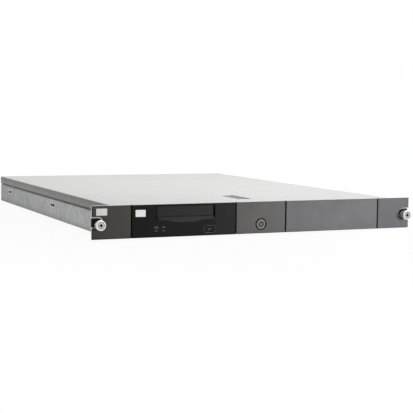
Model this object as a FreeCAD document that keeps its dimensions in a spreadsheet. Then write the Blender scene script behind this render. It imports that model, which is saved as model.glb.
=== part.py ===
import FreeCAD, Part
import math
import os
import re
import Sketcher

# Rack drive enclosure: a 19-inch, one-unit-high case with two half-height bays.
# Build frame: X to the viewer's right, Y to the back with 0 at the back of the rack ears, Z up.

doc = FreeCAD.newDocument("rack_drive_enclosure")

# Driving dimensions, in millimetres and degrees
SIZES = [
    ("panel_width", 482.6, "front panel over both ears"),
    ("panel_height", 43.6, "front panel, bottom to top"),
    ("panel_lift", 0.2, "panel bottom above the case floor"),
    ("bezel_wall", 3.0, "moulded front in front of the ear steel"),
    ("ear_steel", 2.0, "thickness of the rack ears"),
    ("bay_width", 150.0, "one drive bay between joint lines"),
    ("centre_width", 76.0, "centre section between joint lines"),
    ("section_gap", 1.6, "open joint between front sections"),
    ("edge_round", 0.8, "rounding of the moulded front edges"),
    ("notch_height", 15.0, "open notch in each ear moulding"),
    ("notch_depth", 16.4, "notch from the ear edge to its round end"),
    ("notch_z", 21.8, "notch centre above the floor"),
    ("slot_height", 11.8, "notch in the ear steel"),
    ("ear_inset", 0.15, "ear steel inside the moulding outline"),
    ("ear_relief", 0.3, "ear back clear of the case wall edge"),
    ("ear_leg", 38.0, "ear leg along the inside of the case wall"),
    ("ear_leg_low", 3.0, "leg bottom above the floor"),
    ("ear_leg_high", 27.0, "leg top above the floor"),
    ("ear_screw_y", 22.0, "ear screws behind the rack plane"),
    ("ear_screw_z", 9.0, "lower ear screw above the floor"),
    ("ear_screw_rise", 13.0, "upper ear screw above the lower"),
    ("case_width", 429.0, "case over the side walls"),
    ("case_depth", 597.0, "rack plane to the back of the cover"),
    ("cover_drop", 0.6, "cover top below the panel top"),
    ("sheet", 1.0, "case sheet"),
    ("cover_sheet", 1.0, "cover sheet"),
    ("cover_skirt", 11.7, "cover side flange"),
    ("cover_gap", 0.4, "clearance round the cover"),
    ("skirt_gap", 2.0, "open line under the cover flange"),
    ("joggle", 1.45, "inward step of the case wall behind the flange"),
    ("bend", 1.6, "outer bend radius of the sheet"),
    ("rear_lip", 2.0, "cover lip down over the back"),
    ("rear_tab", 9.0, "cover screw tab down over the back"),
    ("rear_tab_width", 24.0, "cover screw tab width"),
    ("tab_gap", 0.8, "front tab back from the joint line"),
    ("cover_screw_x", 150.0, "cover screw from the middle"),
    ("cover_screw_drop", 4.6, "cover screw below the cover top"),
    ("small_screw_r", 1.5, "radius of the small screws"),
    ("screw_clear", 0.35, "radial clearance of screw holes"),
    ("small_head_r", 2.8, "head radius of the small screws"),
    ("small_head_t", 1.6, "head height of the small screws"),
    ("rail_first", 267.0, "first rail slot behind the rack plane"),
    ("rail_pitch", 262.0, "rail slot spacing"),
    ("rail_z", 20.5, "rail slots above the floor"),
    ("rail_slot", 22.0, "rail slot length"),
    ("rail_slot_r", 2.2, "half width of a rail slot"),
    ("screw_edge", 8.75, "rack screw in from the panel edge"),
    ("insert_gap", 0.1, "notch insert clear of the steel and retainer"),
    ("insert_sink", 0.3, "insert faces behind the faces of the steel"),
    ("ferrule_r", 3.4, "retainer radius in the ear slot"),
    ("ferrule_collar_gap", 0.2, "retainer collar clear of the moulded notch"),
    ("ferrule_collar_t", 1.0, "retainer collar thickness"),
    ("ferrule_sleeve_r", 3.9, "retainer sleeve radius"),
    ("ferrule_sleeve", 3.6, "retainer sleeve length"),
    ("ferrule_run", 0.45, "retainer bore round the thread"),
    ("knob_r", 6.7, "knob radius"),
    ("knob_reach", 10.2, "knob face in front of the panel"),
    ("knob_length", 6.5, "knob length"),
    ("knob_round", 0.9, "rounding of the knob rim"),
    ("knob_well_r", 5.3, "spring well in the back of the knob"),
    ("knob_well", 4.2, "depth of the spring well"),
    ("head_r", 4.6, "screw head seat in the knob face"),
    ("head_seat", 1.2, "depth of that seat"),
    ("head_gap", 0.15, "ring gap round the screw head"),
    ("shank_r", 2.5, "screw shank radius"),
    ("neck_r", 1.9, "relieved neck radius"),
    ("thread_r", 2.4, "threaded end radius"),
    ("thread_length", 6.0, "threaded end length"),
    ("thread_start", 0.4, "threaded end behind the rack plane"),
    ("cross_length", 4.4, "cross recess across"),
    ("cross_width", 0.9, "cross recess slot width"),
    ("cross_depth", 0.8, "cross recess depth"),
    ("washer_gap", 0.4, "thrust washer clear of the knob well"),
    ("washer_t", 0.5, "thrust washer thickness"),
    ("washer_run", 0.45, "thrust washer bore round the shank"),
    ("run_gap", 0.3, "free gap between moving pieces"),
    ("coil_gap", 0.45, "thumbscrew spring clear of the knob well"),
    ("coil_wire_r", 0.25, "thumbscrew spring wire radius"),
    ("coil_turns", 4.0, "thumbscrew spring turns"),
    ("button_r", 6.9, "power button radius"),
    ("button_gap", 1.3, "ring gap round the power button"),
    ("button_z", 12.9, "power button centre above the floor"),
    ("button_proud", 0.3, "power button in front of the panel"),
    ("button_round", 0.9, "rounding of the power button rim"),
    ("button_flange", 0.9, "power button flange beyond its hole"),
    ("button_flange_t", 0.8, "thickness of that flange"),
    ("button_well_gap", 0.6, "button flange clear of the well round it"),
    ("button_well", 3.2, "depth of that well"),
    ("plunger_r", 1.9, "button plunger radius"),
    ("plunger_end", 5.6, "plunger end behind the rack plane"),
    ("tab_hole_r", 7.0, "button hole in the centre tab"),
    ("board_y", 10.5, "button board behind the rack plane"),
    ("board_t", 1.6, "circuit board thickness"),
    ("board_width", 46.0, "button board width"),
    ("board_low", 2.6, "button board bottom"),
    ("board_high", 32.0, "button board top"),
    ("switch_size", 4.5, "push switch body"),
    ("switch_t", 2.4, "push switch body length"),
    ("button_coil_r", 4.6, "power button spring mean radius"),
    ("button_coil_wire_r", 0.3, "power button spring wire radius"),
    ("button_coil_turns", 4.0, "power button spring turns"),
    ("clip_t", 1.6, "filler clip thickness"),
    ("clip_width", 12.0, "filler clip width"),
    ("clip_reach", 14.0, "filler clip length"),
    ("clip_inset", 1.4, "filler clip in from the filler edge"),
    ("clip_z", 21.8, "filler clip centre above the floor"),
    ("filler_rib", 2.0, "stiffening rib of the filler"),
    ("latch_width", 21.0, "latch pocket width"),
    ("latch_front", 45.0, "latch pocket front"),
    ("latch_length", 64.0, "latch pocket length"),
    ("latch_deep", 6.0, "latch pocket below the cover top"),
    ("latch_wall", 1.0, "latch dish wall"),
    ("latch_lip", 4.0, "latch dish rim under the cover"),
    ("lever_gap", 0.6, "lever clearance in its pocket"),
    ("lever_turn", 0.4, "lever heel clear of the pocket end as it turns"),
    ("lever_sink", 0.5, "lever top below the cover top"),
    ("lever_finger", 12.0, "finger space in front of the lever"),
    ("lever_t", 3.0, "lever thickness"),
    ("lever_pin_r", 1.2, "lever pin radius"),
    ("lever_hub_r", 2.2, "lever hub radius"),
    ("pin_run", 0.06, "running clearance on hinge pins"),
    ("drive_reach", 9.0, "depth of the drive front moulding"),
    ("drive_shift", 1.2, "door centre from the bay centre"),
    ("door_width", 83.0, "cartridge door width"),
    ("door_low", 26.8, "cartridge door bottom"),
    ("door_high", 41.2, "cartridge door top"),
    ("door_t", 2.4, "cartridge door thickness"),
    ("door_sink", 2.8, "door face behind the drive face"),
    ("door_side", 1.3, "gap at each side of the door"),
    ("door_slack", 0.45, "gap above and below the door"),
    ("door_pin_r", 0.8, "door pin radius"),
    ("door_pin_z", 39.9, "door pin above the floor"),
    ("door_pin_over", 3.0, "door pin into the moulding each side"),
    ("door_round", 0.5, "rounding of the door edges"),
    ("ledge_z", 22.6, "bottom edge of the bevel under the door"),
    ("ledge_deep", 3.2, "depth of the bevel under the door"),
    ("scoop_half", 29.0, "finger scoop half width"),
    ("scoop_low", 19.0, "bottom of the finger scoop"),
    ("eject_offset", 36.0, "eject button from the bay middle"),
    ("eject_z", 8.9, "eject button height"),
    ("eject_width", 15.6, "eject button width"),
    ("eject_height", 7.4, "eject button height over its face"),
    ("eject_gap", 0.7, "gap round the eject button"),
    ("eject_sink", 0.3, "eject button behind the drive face"),
    ("eject_flange", 1.6, "flange round the eject button"),
    ("eject_flange_t", 1.0, "flange thickness"),
    ("eject_well", 3.6, "well behind the eject button"),
    ("eject_travel", 1.6, "eject stem from its switch"),
    ("eject_stem_r", 1.5, "eject stem radius"),
    ("eject_coil_r", 3.8, "eject spring mean radius"),
    ("eject_coil_wire_r", 0.22, "eject spring wire radius"),
    ("eject_coil_turns", 4.0, "eject spring turns"),
    ("lamp_offset", -40.6, "first lamp from the bay middle"),
    ("lamp_pitch", 10.3, "second lamp from the first"),
    ("lamp_z", 8.9, "lamps above the floor"),
    ("lamp_width", 3.6, "lamp window width"),
    ("lamp_height", 1.8, "lamp window height"),
    ("lamp_proud", 0.1, "lamp face in front of the drive face"),
    ("drive_width", 101.6, "drive housing width"),
    ("drive_length", 146.0, "drive housing length"),
    ("drive_low", 1.5, "drive housing bottom"),
    ("drive_high", 41.0, "drive housing top"),
    ("drive_joint", 0.3, "housing behind the drive moulding"),
    ("slot_width", 78.0, "cartridge space width"),
    ("slot_low", 25.6, "cartridge space floor"),
    ("slot_top", 39.6, "cartridge space roof"),
    ("slot_deep", 82.0, "cartridge space depth"),
    ("door_room", 15.5, "open space for the swung door"),
    ("nose_low", 2.6, "front board space bottom"),
    ("nose_high", 16.0, "front board space top"),
    ("nose_deep", 9.0, "front board space depth"),
    ("nose_side", 2.0, "housing wall beside the front board"),
    ("carrier_t", 0.6, "cartridge carrier sheet"),
    ("carrier_side", 8.0, "cartridge carrier side height"),
    ("carrier_length", 72.0, "cartridge carrier length"),
    ("carrier_gap", 0.15, "carrier clearance in the housing"),
    ("bracket_t", 1.2, "drive bracket sheet"),
    ("bracket_high", 30.0, "drive bracket web height"),
    ("bracket_foot", 16.0, "drive bracket foot"),
    ("bracket_start", 16.0, "drive bracket front"),
    ("bracket_length", 120.0, "drive bracket length"),
    ("drive_screw_y", 30.0, "first drive screw"),
    ("drive_screw_pitch", 60.0, "drive screw spacing"),
    ("drive_screw_z", 10.0, "drive screws above the floor"),
    ("data_plug_width", 68.0, "drive data connector width"),
    ("data_plug_height", 9.0, "drive data connector height"),
    ("data_plug_reach", 9.0, "drive data connector length"),
    ("data_plug_z", 27.0, "drive data connector height above the floor"),
    ("power_plug_width", 22.0, "drive power connector width"),
    ("power_plug_height", 8.0, "drive power connector height"),
    ("power_plug_x", 36.0, "drive power connector from the drive middle"),
    ("power_plug_z", 9.0, "drive power connector above the floor"),
    ("fan_size", 38.0, "fan frame side"),
    ("fan_depth", 20.0, "fan frame depth"),
    ("fan_bore_r", 17.8, "fan air bore radius"),
    ("fan_pitch_x", 46.0, "fan spacing"),
    ("fan_x", 14.0, "first fan from the middle"),
    ("fan_z", 21.2, "fan centre above the floor"),
    ("fan_hole", 16.0, "fan screw hole from the fan centre"),
    ("fan_hub_r", 9.0, "fan rotor hub radius"),
    ("fan_hub_depth", 12.0, "fan rotor hub depth"),
    ("fan_hub_wall", 1.4, "fan rotor hub wall"),
    ("fan_mount_t", 2.0, "fan motor plate thickness"),
    ("fan_strut", 2.4, "fan strut width"),
    ("fan_post_r", 3.0, "fan bearing post radius"),
    ("fan_shaft_r", 1.0, "fan shaft radius"),
    ("blade_gap", 1.6, "fan blade tip clear of the air bore"),
    ("blade_root", 8.0, "fan blade root inside the hub"),
    ("blade_chord", 11.0, "fan blade chord"),
    ("blade_t", 1.0, "fan blade thickness"),
    ("blade_root_pitch", 52.0, "blade angle at the hub"),
    ("blade_tip_pitch", 30.0, "blade angle at the tip"),
    ("guard_wire_r", 0.75, "fan guard wire radius"),
    ("guard_first_r", 6.0, "inner guard ring"),
    ("guard_step", 5.2, "guard ring spacing"),
    ("guard_over", 1.6, "guard rings and legs share this much of the wire"),
    ("port_x", -113.0, "first data port"),
    ("port_pitch", 74.0, "data port spacing"),
    ("port_z", 22.0, "data ports above the floor"),
    ("port_width", 46.0, "data port shell width"),
    ("port_height", 10.0, "data port shell height"),
    ("port_slant", 1.6, "data port shell side slant"),
    ("port_wall", 0.9, "data port shell wall"),
    ("port_reach", 4.6, "data port shell behind the case"),
    ("port_body", 9.0, "data port body inside the case"),
    ("port_plate_x", 64.0, "data port plate width"),
    ("port_plate_z", 13.0, "data port plate height"),
    ("port_plate_t", 1.2, "data port plate thickness"),
    ("port_tongue", 2.6, "data port tongue height"),
    ("jack_x", 28.0, "jack post from the port centre"),
    ("jack_r", 2.7, "jack post radius over the flats"),
    ("jack_bore_r", 1.2, "jack post thread radius"),
    ("jack_reach", 5.5, "jack post behind the case"),
    ("jack_stud_r", 1.4, "jack stud radius"),
    ("inlet_x", 186.0, "power inlet from the middle"),
    ("inlet_z", 21.4, "power inlet above the floor"),
    ("inlet_flange_x", 31.0, "power inlet flange width"),
    ("inlet_flange_z", 24.0, "power inlet flange height"),
    ("inlet_flange_t", 2.2, "power inlet flange thickness"),
    ("inlet_body_x", 27.4, "power inlet body width"),
    ("inlet_body_z", 20.0, "power inlet body height"),
    ("inlet_body_y", 17.0, "power inlet body depth"),
    ("inlet_well_x", 24.4, "power inlet well width"),
    ("inlet_well_z", 16.2, "power inlet well height"),
    ("inlet_well_y", 15.5, "power inlet well depth"),
    ("inlet_corner", 4.0, "cut corners of the inlet well"),
    ("blade_x", 7.0, "inlet pin from the inlet centre"),
    ("blade_z", 2.0, "inlet pins above and below the centre"),
    ("pin_wide", 4.0, "inlet pin height"),
    ("pin_thin", 2.0, "inlet pin thickness"),
    ("pin_length", 13.5, "inlet pin length"),
    ("supply_x", 106.0, "power supply inner side"),
    ("supply_width", 102.0, "power supply width"),
    ("supply_length", 150.0, "power supply length"),
    ("supply_high", 40.5, "power supply top"),
    ("supply_gap", 20.5, "power supply in front of the rear panel"),
    ("supply_vent", 6.0, "first supply vent from its inner side"),
    ("vent_x", 112.0, "first rear vent slot"),
    ("vent_pitch", 5.0, "rear vent slot spacing"),
    ("vent_width", 2.6, "rear vent slot width"),
    ("vent_low", 10.0, "rear vent slot bottom"),
    ("vent_high", 33.0, "rear vent slot top"),
    ("ribbon_width", 44.0, "data ribbon width"),
    ("ribbon_t", 1.2, "data ribbon thickness"),
    ("ribbon_floor", 4.0, "data ribbon above the floor"),
    ("ribbon_bend", 9.0, "data ribbon bend radius"),
    ("ribbon_straight", 25.0, "data ribbon straight out of its plugs"),
    ("ribbon_climb", 32.0, "data ribbon slope to the floor, along the case"),
    ("spare_end", 235.0, "front end of the spare ribbon"),
    ("lead_r", 2.6, "power lead radius"),
    ("lead_z", 9.0, "power lead above the floor"),
    ("lead_bend", 22.0, "power lead bend radius"),
    ("lead_inset", 20.0, "power lead from the supply inner side"),
    ("lead_cross_y", 330.0, "where the power lead crosses the case"),
    ("wire_r", 1.2, "button lead radius"),
    ("wire_z", 3.4, "button lead above the floor"),
    ("wire_supply", 60.0, "button lead from the supply inner side"),
    ("wire_inset", 8.0, "button lead in from the board edge"),
    ("wire_cross_y", 372.0, "where the button lead turns to the supply"),
]
# Sizes that follow from others and a named clearance
FOLLOWS = {
    "cover_top": "panel_lift + panel_height - cover_drop",
    "screw_x": "panel_width / 2 - screw_edge",
    "ferrule_collar_r": "ferrule_r + (notch_height - slot_height) / 2 - ferrule_collar_gap",
    "ferrule_bore_r": "thread_r + ferrule_run",
    "washer_r": "knob_well_r - washer_gap",
    "washer_bore_r": "shank_r + washer_run",
    "coil_r": "knob_well_r - coil_gap - coil_wire_r",
    "button_flange_r": "button_r + button_gap + button_flange",
    "button_well_r": "button_flange_r + button_well_gap",
    "eject_x": "eject_offset - centre_width / 2 - bay_width / 2",
    "lamp_x": "lamp_offset - centre_width / 2 - bay_width / 2",
    "blade_tip": "fan_bore_r - blade_gap",
}
BLADES = 7
VENT_SLOTS = 9
GUARD_RINGS = 3
WIRE_SIDES = 8
TAN_22 = "0.4142"
COS_45 = "0.70711"

sheet = doc.addObject("Spreadsheet::Sheet", "Sizes")
for row, (alias, value, meaning) in enumerate(SIZES, 1):
    sheet.set(f"A{row}", alias)
    sheet.set(f"B{row}", str(value))
    sheet.set(f"C{row}", meaning)
    sheet.setAlias(f"B{row}", alias)
doc.recompute()

ALIASES = re.compile(r"\b(" + "|".join(alias for alias, _, _ in SIZES) + r")\b")
FOLLOWING = re.compile(r"\b(" + "|".join(FOLLOWS) + r")\b")

# Places that several pieces share, as formulas over the sheet
PANEL_FRONT = "(-(ear_steel + bezel_wall))"
PANEL_TOP = "(panel_lift + panel_height)"
BAY_IN = "(centre_width / 2)"
BAY_OUT = "(centre_width / 2 + bay_width)"
BAY_MID = "(centre_width / 2 + bay_width / 2)"
WALL = "(case_width / 2)"
WALL_IN = "(case_width / 2 - sheet)"
STEP_OUT = "(case_width / 2 - joggle)"
STEP_IN = "(case_width / 2 - joggle - sheet)"
SKIRT_LOW = "(cover_top - cover_skirt)"
STEP_Z = "(cover_top - cover_skirt - skirt_gap)"
UNDER_COVER = "(cover_top - cover_sheet)"
WALL_TOP = "(cover_top - cover_sheet - cover_gap)"
REAR = "(case_depth - cover_sheet - cover_gap)"
REAR_IN = "(case_depth - cover_sheet - cover_gap - sheet)"
SCREW_Z = "(notch_z - slot_height / 2 + ferrule_r)"
KNOB_FACE = "(-(ear_steel + bezel_wall + knob_reach))"
KNOB_BACK = "(knob_length - ear_steel - bezel_wall - knob_reach)"
WELL_FLOOR = "(knob_length - knob_well - ear_steel - bezel_wall - knob_reach)"
SHIFT = f"(-({KNOB_FACE} + {REAR} + jack_reach) / 2)"
DRIVE_X = f"(drive_shift - {BAY_MID})"
DRIVE_BACK = f"({PANEL_FRONT} + drive_reach)"
DOOR_FACE = f"({PANEL_FRONT} + door_sink)"
DOOR_PIN_Y = f"({PANEL_FRONT} + door_sink + door_t / 2)"

probe = doc.addObject("App::FeaturePython", "Probe")
probe.addProperty("App::PropertyFloat", "reading")


def bound(formula):
    """Turn a formula over the size names into one that points at the sheet."""
    while FOLLOWING.search(formula):
        formula = FOLLOWING.sub(lambda found: f"({FOLLOWS[found.group(1)]})", formula)
    return ALIASES.sub(r"Sizes.\1", formula)


def number(formula):
    """Present value of a formula over the size names."""
    probe.setExpression("reading", bound(formula))
    probe.recompute()
    return probe.reading


def bind(obj, prop, formula):
    """Drive one property of an object by a formula over the sheet."""
    obj.setExpression(prop, bound(formula))


def place(obj, x="0", y="0", z="0"):
    """Put an object at a point of the build frame; the shift centres the whole part."""
    bind(obj, "Placement.Base.x", x)
    bind(obj, "Placement.Base.y", f"({y}) + {SHIFT}")
    bind(obj, "Placement.Base.z", z)


def rect(u0, v0, u1, v1, radius=None):
    """Four corners of a rectangle, each rounded by the same radius if one is given."""
    return [(u0, v0, radius), (u1, v0, radius), (u1, v1, radius), (u0, v1, radius)]


def circle(u, v, radius):
    """A full circle for a sketch."""
    return {"u": u, "v": v, "radius": radius}


def draw_circle(sketch, shape):
    """Add one circle held by its centre and radius."""
    centre = FreeCAD.Vector(number(shape["u"]), number(shape["v"]), 0)
    radius = number(shape["radius"])
    item = sketch.addGeometry(Part.Circle(centre, FreeCAD.Vector(0, 0, 1), radius))
    fixed = [
        (Sketcher.Constraint("DistanceX", -1, 1, item, 3, centre.x), shape["u"]),
        (Sketcher.Constraint("DistanceY", -1, 1, item, 3, centre.y), shape["v"]),
        (Sketcher.Constraint("Radius", item, radius), shape["radius"]),
    ]
    for constraint, formula in fixed:
        bind(sketch, f"Constraints[{sketch.addConstraint(constraint)}]", formula)


def hold_point(sketch, item, end, u, v):
    """Fix one sketch point by its two distances from the origin."""
    for kind, formula in (("DistanceX", u), ("DistanceY", v)):
        constraint = Sketcher.Constraint(kind, -1, 1, item, end, number(formula))
        bind(sketch, f"Constraints[{sketch.addConstraint(constraint)}]", formula)


def corner_arc(before, corner, after, radius):
    """Tangent points, centre and turning sense of the arc that rounds a corner."""
    to_before = (before - corner).normalize()
    to_after = (after - corner).normalize()
    half = to_before.getAngle(to_after) / 2
    start = corner + to_before * (radius / math.tan(half))
    end = corner + to_after * (radius / math.tan(half))
    centre = corner + (to_before + to_after).normalize() * (radius / math.sin(half))
    left = (corner - before).cross(after - corner).z > 0
    return start, end, centre, left


def draw_outline(sketch, corners):
    """Add a closed outline; a corner with a radius becomes a tangent arc."""
    corners = [corner if len(corner) == 3 else corner + (None,) for corner in corners]
    points = [FreeCAD.Vector(number(u), number(v), 0) for u, v, _ in corners]
    count = len(points)
    starts = list(points)
    ends = list(points)
    arcs = {}
    for i, (_, _, radius) in enumerate(corners):
        if radius:
            size = number(radius)
            before, after = points[i - 1], points[(i + 1) % count]
            ends[i], starts[i], centre, left = corner_arc(before, points[i], after, size)
            arcs[i] = (centre, size, left)
    lines = []
    for i in range(count):
        lines.append(sketch.addGeometry(Part.LineSegment(starts[i], ends[(i + 1) % count])))
    for i, (u, v, radius) in enumerate(corners):
        if i not in arcs:
            sketch.addConstraint(Sketcher.Constraint("Coincident", lines[i - 1], 2, lines[i], 1))
            hold_point(sketch, lines[i], 1, u, v)
            continue
        centre, size, left = arcs[i]
        first, last = (ends[i], starts[i]) if left else (starts[i], ends[i])
        angles = [math.atan2(p.y - centre.y, p.x - centre.x) for p in (first, last)]
        ring = Part.Circle(centre, FreeCAD.Vector(0, 0, 1), size)
        arc = sketch.addGeometry(Part.ArcOfCircle(ring, angles[0], angles[1]))
        sharp = sketch.addGeometry(Part.Point(points[i]), True)
        hold_point(sketch, sharp, 1, u, v)
        sketch.addConstraint([
            Sketcher.Constraint("PointOnObject", sharp, 1, lines[i - 1]),
            Sketcher.Constraint("PointOnObject", sharp, 1, lines[i]),
            Sketcher.Constraint("Tangent", lines[i - 1], 2, arc, 1 if left else 2),
            Sketcher.Constraint("Tangent", lines[i], 1, arc, 2 if left else 1),
        ])
        held = sketch.addConstraint(Sketcher.Constraint("Radius", arc, size))
        bind(sketch, f"Constraints[{held}]", radius)


class Piece:
    """One sub-part: a body whose features are drawn on its own origin planes."""

    def __init__(self, name, x="0", y="0", z="0"):
        self.body = doc.addObject("PartDesign::Body", name)
        self.body.Label = name
        place(self.body, x, y, z)

    def origin(self, role):
        """An origin plane or axis of this body."""
        return next(item for item in self.body.Origin.OriginFeatures if item.Role == role)

    def sketch(self, plane, level, loops):
        """A sketch of closed loops on a plane at a level along that plane's axis."""
        sketch = self.body.newObject("Sketcher::SketchObject", "Outline")
        sketch.AttachmentSupport = [(self.origin(f"{plane}_Plane"), "")]
        sketch.MapMode = "FlatFace"
        bind(sketch, "AttachmentOffset.Base.z", f"-({level})" if plane == "XZ" else level)
        for loop in loops:
            if isinstance(loop, dict):
                draw_circle(sketch, loop)
            else:
                draw_outline(sketch, loop)
        return sketch

    def feature(self, kind, sketch):
        """Add one sketch-based feature and make it the tip."""
        item = self.body.newObject(f"PartDesign::{kind}", kind)
        item.Profile = sketch
        self.body.Tip = item
        return item

    def pad(self, plane, start, length, *loops):
        """Add material from a level towards the plus side of the axis."""
        item = self.feature("Pad", self.sketch(plane, start, loops))
        bind(item, "Length", length)
        item.Reversed = plane == "XZ"
        return item

    def pocket(self, plane, start, length, *loops):
        """Take material away from a level towards the plus side of the axis."""
        item = self.feature("Pocket", self.sketch(plane, start, loops))
        bind(item, "Length", length)
        item.Reversed = plane != "XZ"
        return item

    def revolve(self, *loops):
        """Turn loops of radius and Y about the Y axis of the body."""
        sketch = self.sketch("XY", "0", loops)
        item = self.feature("Revolution", sketch)
        item.ReferenceAxis = (sketch, ["V_Axis"])
        item.Angle = 360
        return item

    def loft(self, kind, plane, sections):
        """Join loops at several levels by an added or a cut loft."""
        sketches = [self.sketch(plane, level, [loop]) for level, loop in sections]
        item = self.feature(kind, sketches[0])
        item.Sections = sketches[1:]
        return item

    def polar(self, feature, count):
        """Repeat a feature round the Y axis of the body."""
        item = self.body.newObject("PartDesign::PolarPattern", "Polar")
        item.Originals = [feature]
        item.Axis = (self.origin("Y_Axis"), [""])
        item.Angle = 360
        item.Occurrences = count
        self.body.Tip = item

    def row(self, feature, axis, pitch, count):
        """Repeat a feature along one axis of the body."""
        item = self.body.newObject("PartDesign::LinearPattern", "Row")
        item.Originals = [feature]
        item.Direction = (self.origin(f"{axis}_Axis"), [""])
        bind(item, "Length", f"({pitch}) * {count - 1}")
        item.Occurrences = count
        self.body.Tip = item

    def edges(self, kind, size, choose):
        """Round or bevel the edges that a test picks."""
        doc.recompute()
        tip = self.body.Tip
        names = [f"Edge{i}" for i, edge in enumerate(tip.Shape.Edges, 1) if choose(edge)]
        item = self.body.newObject(f"PartDesign::{kind}", kind)
        item.Base = (tip, names)
        bind(item, "Radius" if kind == "Fillet" else "Size", size)
        self.body.Tip = item


def flat_at(axis, formula):
    """Test for edges that lie in a plane square to one axis."""
    level = number(formula)

    def test(edge):
        box = edge.BoundBox
        low, high = getattr(box, f"{axis}Min"), getattr(box, f"{axis}Max")
        return abs(low - level) < 1e-3 and abs(high - level) < 1e-3

    return test


def rod(x, y, z, axis, radius, length):
    """A round bar from a point along one axis, or along a diagonal of the XZ plane."""
    turns = {
        "X": ((0, 1, 0), 90),
        "Y": ((1, 0, 0), -90),
        "Z": ((0, 0, 1), 0),
        "rising": ((0, 1, 0), 45),
        "falling": ((0, 1, 0), 135),
    }
    vector, angle = turns[axis]
    turn = FreeCAD.Rotation(FreeCAD.Vector(*vector), angle)
    item = doc.addObject("Part::Cylinder", "Rod")
    item.Placement = FreeCAD.Placement(FreeCAD.Vector(), turn)
    bind(item, "Radius", radius)
    bind(item, "Height", length)
    place(item, x, y, z)
    return item


def ring(x, y, z, radius, wire):
    """A wire ring square to the Y axis."""
    item = doc.addObject("Part::Torus", "Ring")
    item.Placement = FreeCAD.Placement(FreeCAD.Vector(), FreeCAD.Rotation(FreeCAD.Vector(1, 0, 0), 90))
    bind(item, "Radius1", radius)
    bind(item, "Radius2", wire)
    place(item, x, y, z)
    return item


def joined(name, kind, items):
    """Fuse primitives to one solid, or keep them as a group of solids."""
    item = doc.addObject(f"Part::{kind}", name)
    item.Label = name
    if kind == "MultiFuse":
        item.Shapes = items
        item.Refine = True
    else:
        item.Links = items
    return item


def shaped(name, shape, turn=None, at=("0", "0", "0")):
    """A sub-part whose shape is swept by code from the sheet values."""
    item = doc.addObject("Part::Feature", name)
    item.Label = name
    item.Shape = shape
    if turn:
        item.Placement = FreeCAD.Placement(FreeCAD.Vector(), turn)
    place(item, *at)
    return item


def coil(name, x, z, start, end, radius, wire, turns):
    """A compression spring along Y, swept along a helix."""
    length = number(f"({end}) - ({start}) - 2 * ({wire})")
    mean, thick = number(radius), number(wire)
    helix = Part.makeHelix(length / number(turns), length, mean)
    angles = [2 * math.pi * i / WIRE_SIDES for i in range(WIRE_SIDES + 1)]
    corners = [FreeCAD.Vector(mean + thick * math.cos(a), 0, thick * math.sin(a)) for a in angles]
    profile = Part.makePolygon(corners)
    spring = Part.Wire(helix.Edges).makePipeShell([profile], True, True)
    onto_y = FreeCAD.Rotation(FreeCAD.Vector(1, 0, 0), -90)
    return shaped(name, spring, onto_y, (x, f"({start}) + ({wire})", z))


def route(points, bend):
    """A wire through points with a tangent arc of one radius at every inner point."""
    points = [FreeCAD.Vector(*(number(value) for value in point)) for point in points]
    radius = number(bend)
    edges = []
    at = points[0]
    for before, corner, after in zip(points, points[1:], points[2:]):
        start, end, centre, _ = corner_arc(before, corner, after, radius)
        middle = centre + (corner - centre).normalize() * radius
        edges.append(Part.makeLine(at, start))
        edges.append(Part.Arc(start, middle, end).toShape())
        at = end
    edges.append(Part.makeLine(at, points[-1]))
    return Part.Wire(edges)


def lead(name, points, bend, radius):
    """A round lead swept along a route."""
    path = route(points, bend)
    first = path.Edges[0]
    heading = first.Vertexes[1].Point - first.Vertexes[0].Point
    profile = Part.Wire(Part.makeCircle(number(radius), first.Vertexes[0].Point, heading))
    return shaped(name, path.makePipeShell([profile], True, False))


def ribbon(x, points, bend):
    """A flat ribbon across X, swept along a route in the YZ plane."""
    path = route([(x,) + point for point in points], bend)
    half, thick = number("ribbon_width / 2"), number("ribbon_t / 2")
    start = path.Edges[0].Vertexes[0].Point
    corners = [(-half, -thick), (half, -thick), (half, thick), (-half, thick), (-half, -thick)]
    profile = Part.makePolygon([start + FreeCAD.Vector(dx, 0, dz) for dx, dz in corners])
    return path.makePipeShell([profile], True, False)


# Case: one folded tray with stepped side walls, rail slots and three upturned front tabs
LOW_STEP = f"({STEP_Z} - joggle)"
tray_half = [
    (WALL, "0", "bend"),
    (WALL, LOW_STEP),
    (STEP_OUT, STEP_Z),
    (STEP_OUT, WALL_TOP),
    (STEP_IN, WALL_TOP),
    (STEP_IN, f"{STEP_Z} - {TAN_22} * sheet"),
    (WALL_IN, f"{LOW_STEP} - {TAN_22} * sheet"),
    (WALL_IN, "sheet", "bend - sheet"),
]
tray_other = [(f"-{corner[0]}",) + corner[1:] for corner in reversed(tray_half)]
tray = Piece("chassis_tray")
tray.pad("XZ", "0", REAR, tray_half + tray_other)
LEG_OUT = f"({WALL_IN} - pin_run)"
LEG_IN = f"({LEG_OUT} - ear_steel)"
TAB_OUT = f"({LEG_IN} - tab_gap)"
TAB_IN = f"({BAY_OUT} + tab_gap)"
tray.pad(
    "XZ", "0", "sheet",
    rect(f"-{TAB_OUT}", "sheet / 2", f"-{TAB_IN}", WALL_TOP),
    rect(f"-({BAY_IN} - tab_gap)", "sheet / 2", f"{BAY_IN} - tab_gap", WALL_TOP),
    rect(TAB_IN, "sheet / 2", TAB_OUT, WALL_TOP),
)
tray.pocket("XZ", "-sheet", "3 * sheet", circle("0", "button_z", "tab_hole_r"))
rail_slots = [
    rect(
        f"rail_first + {i} * rail_pitch - rail_slot / 2", "rail_z - rail_slot_r",
        f"rail_first + {i} * rail_pitch + rail_slot / 2", "rail_z + rail_slot_r", "rail_slot_r * 0.98",
    )
    for i in range(2)
]
tray.pocket("YZ", f"-{WALL} - sheet", "case_width + 2 * sheet", *rail_slots)
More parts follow.
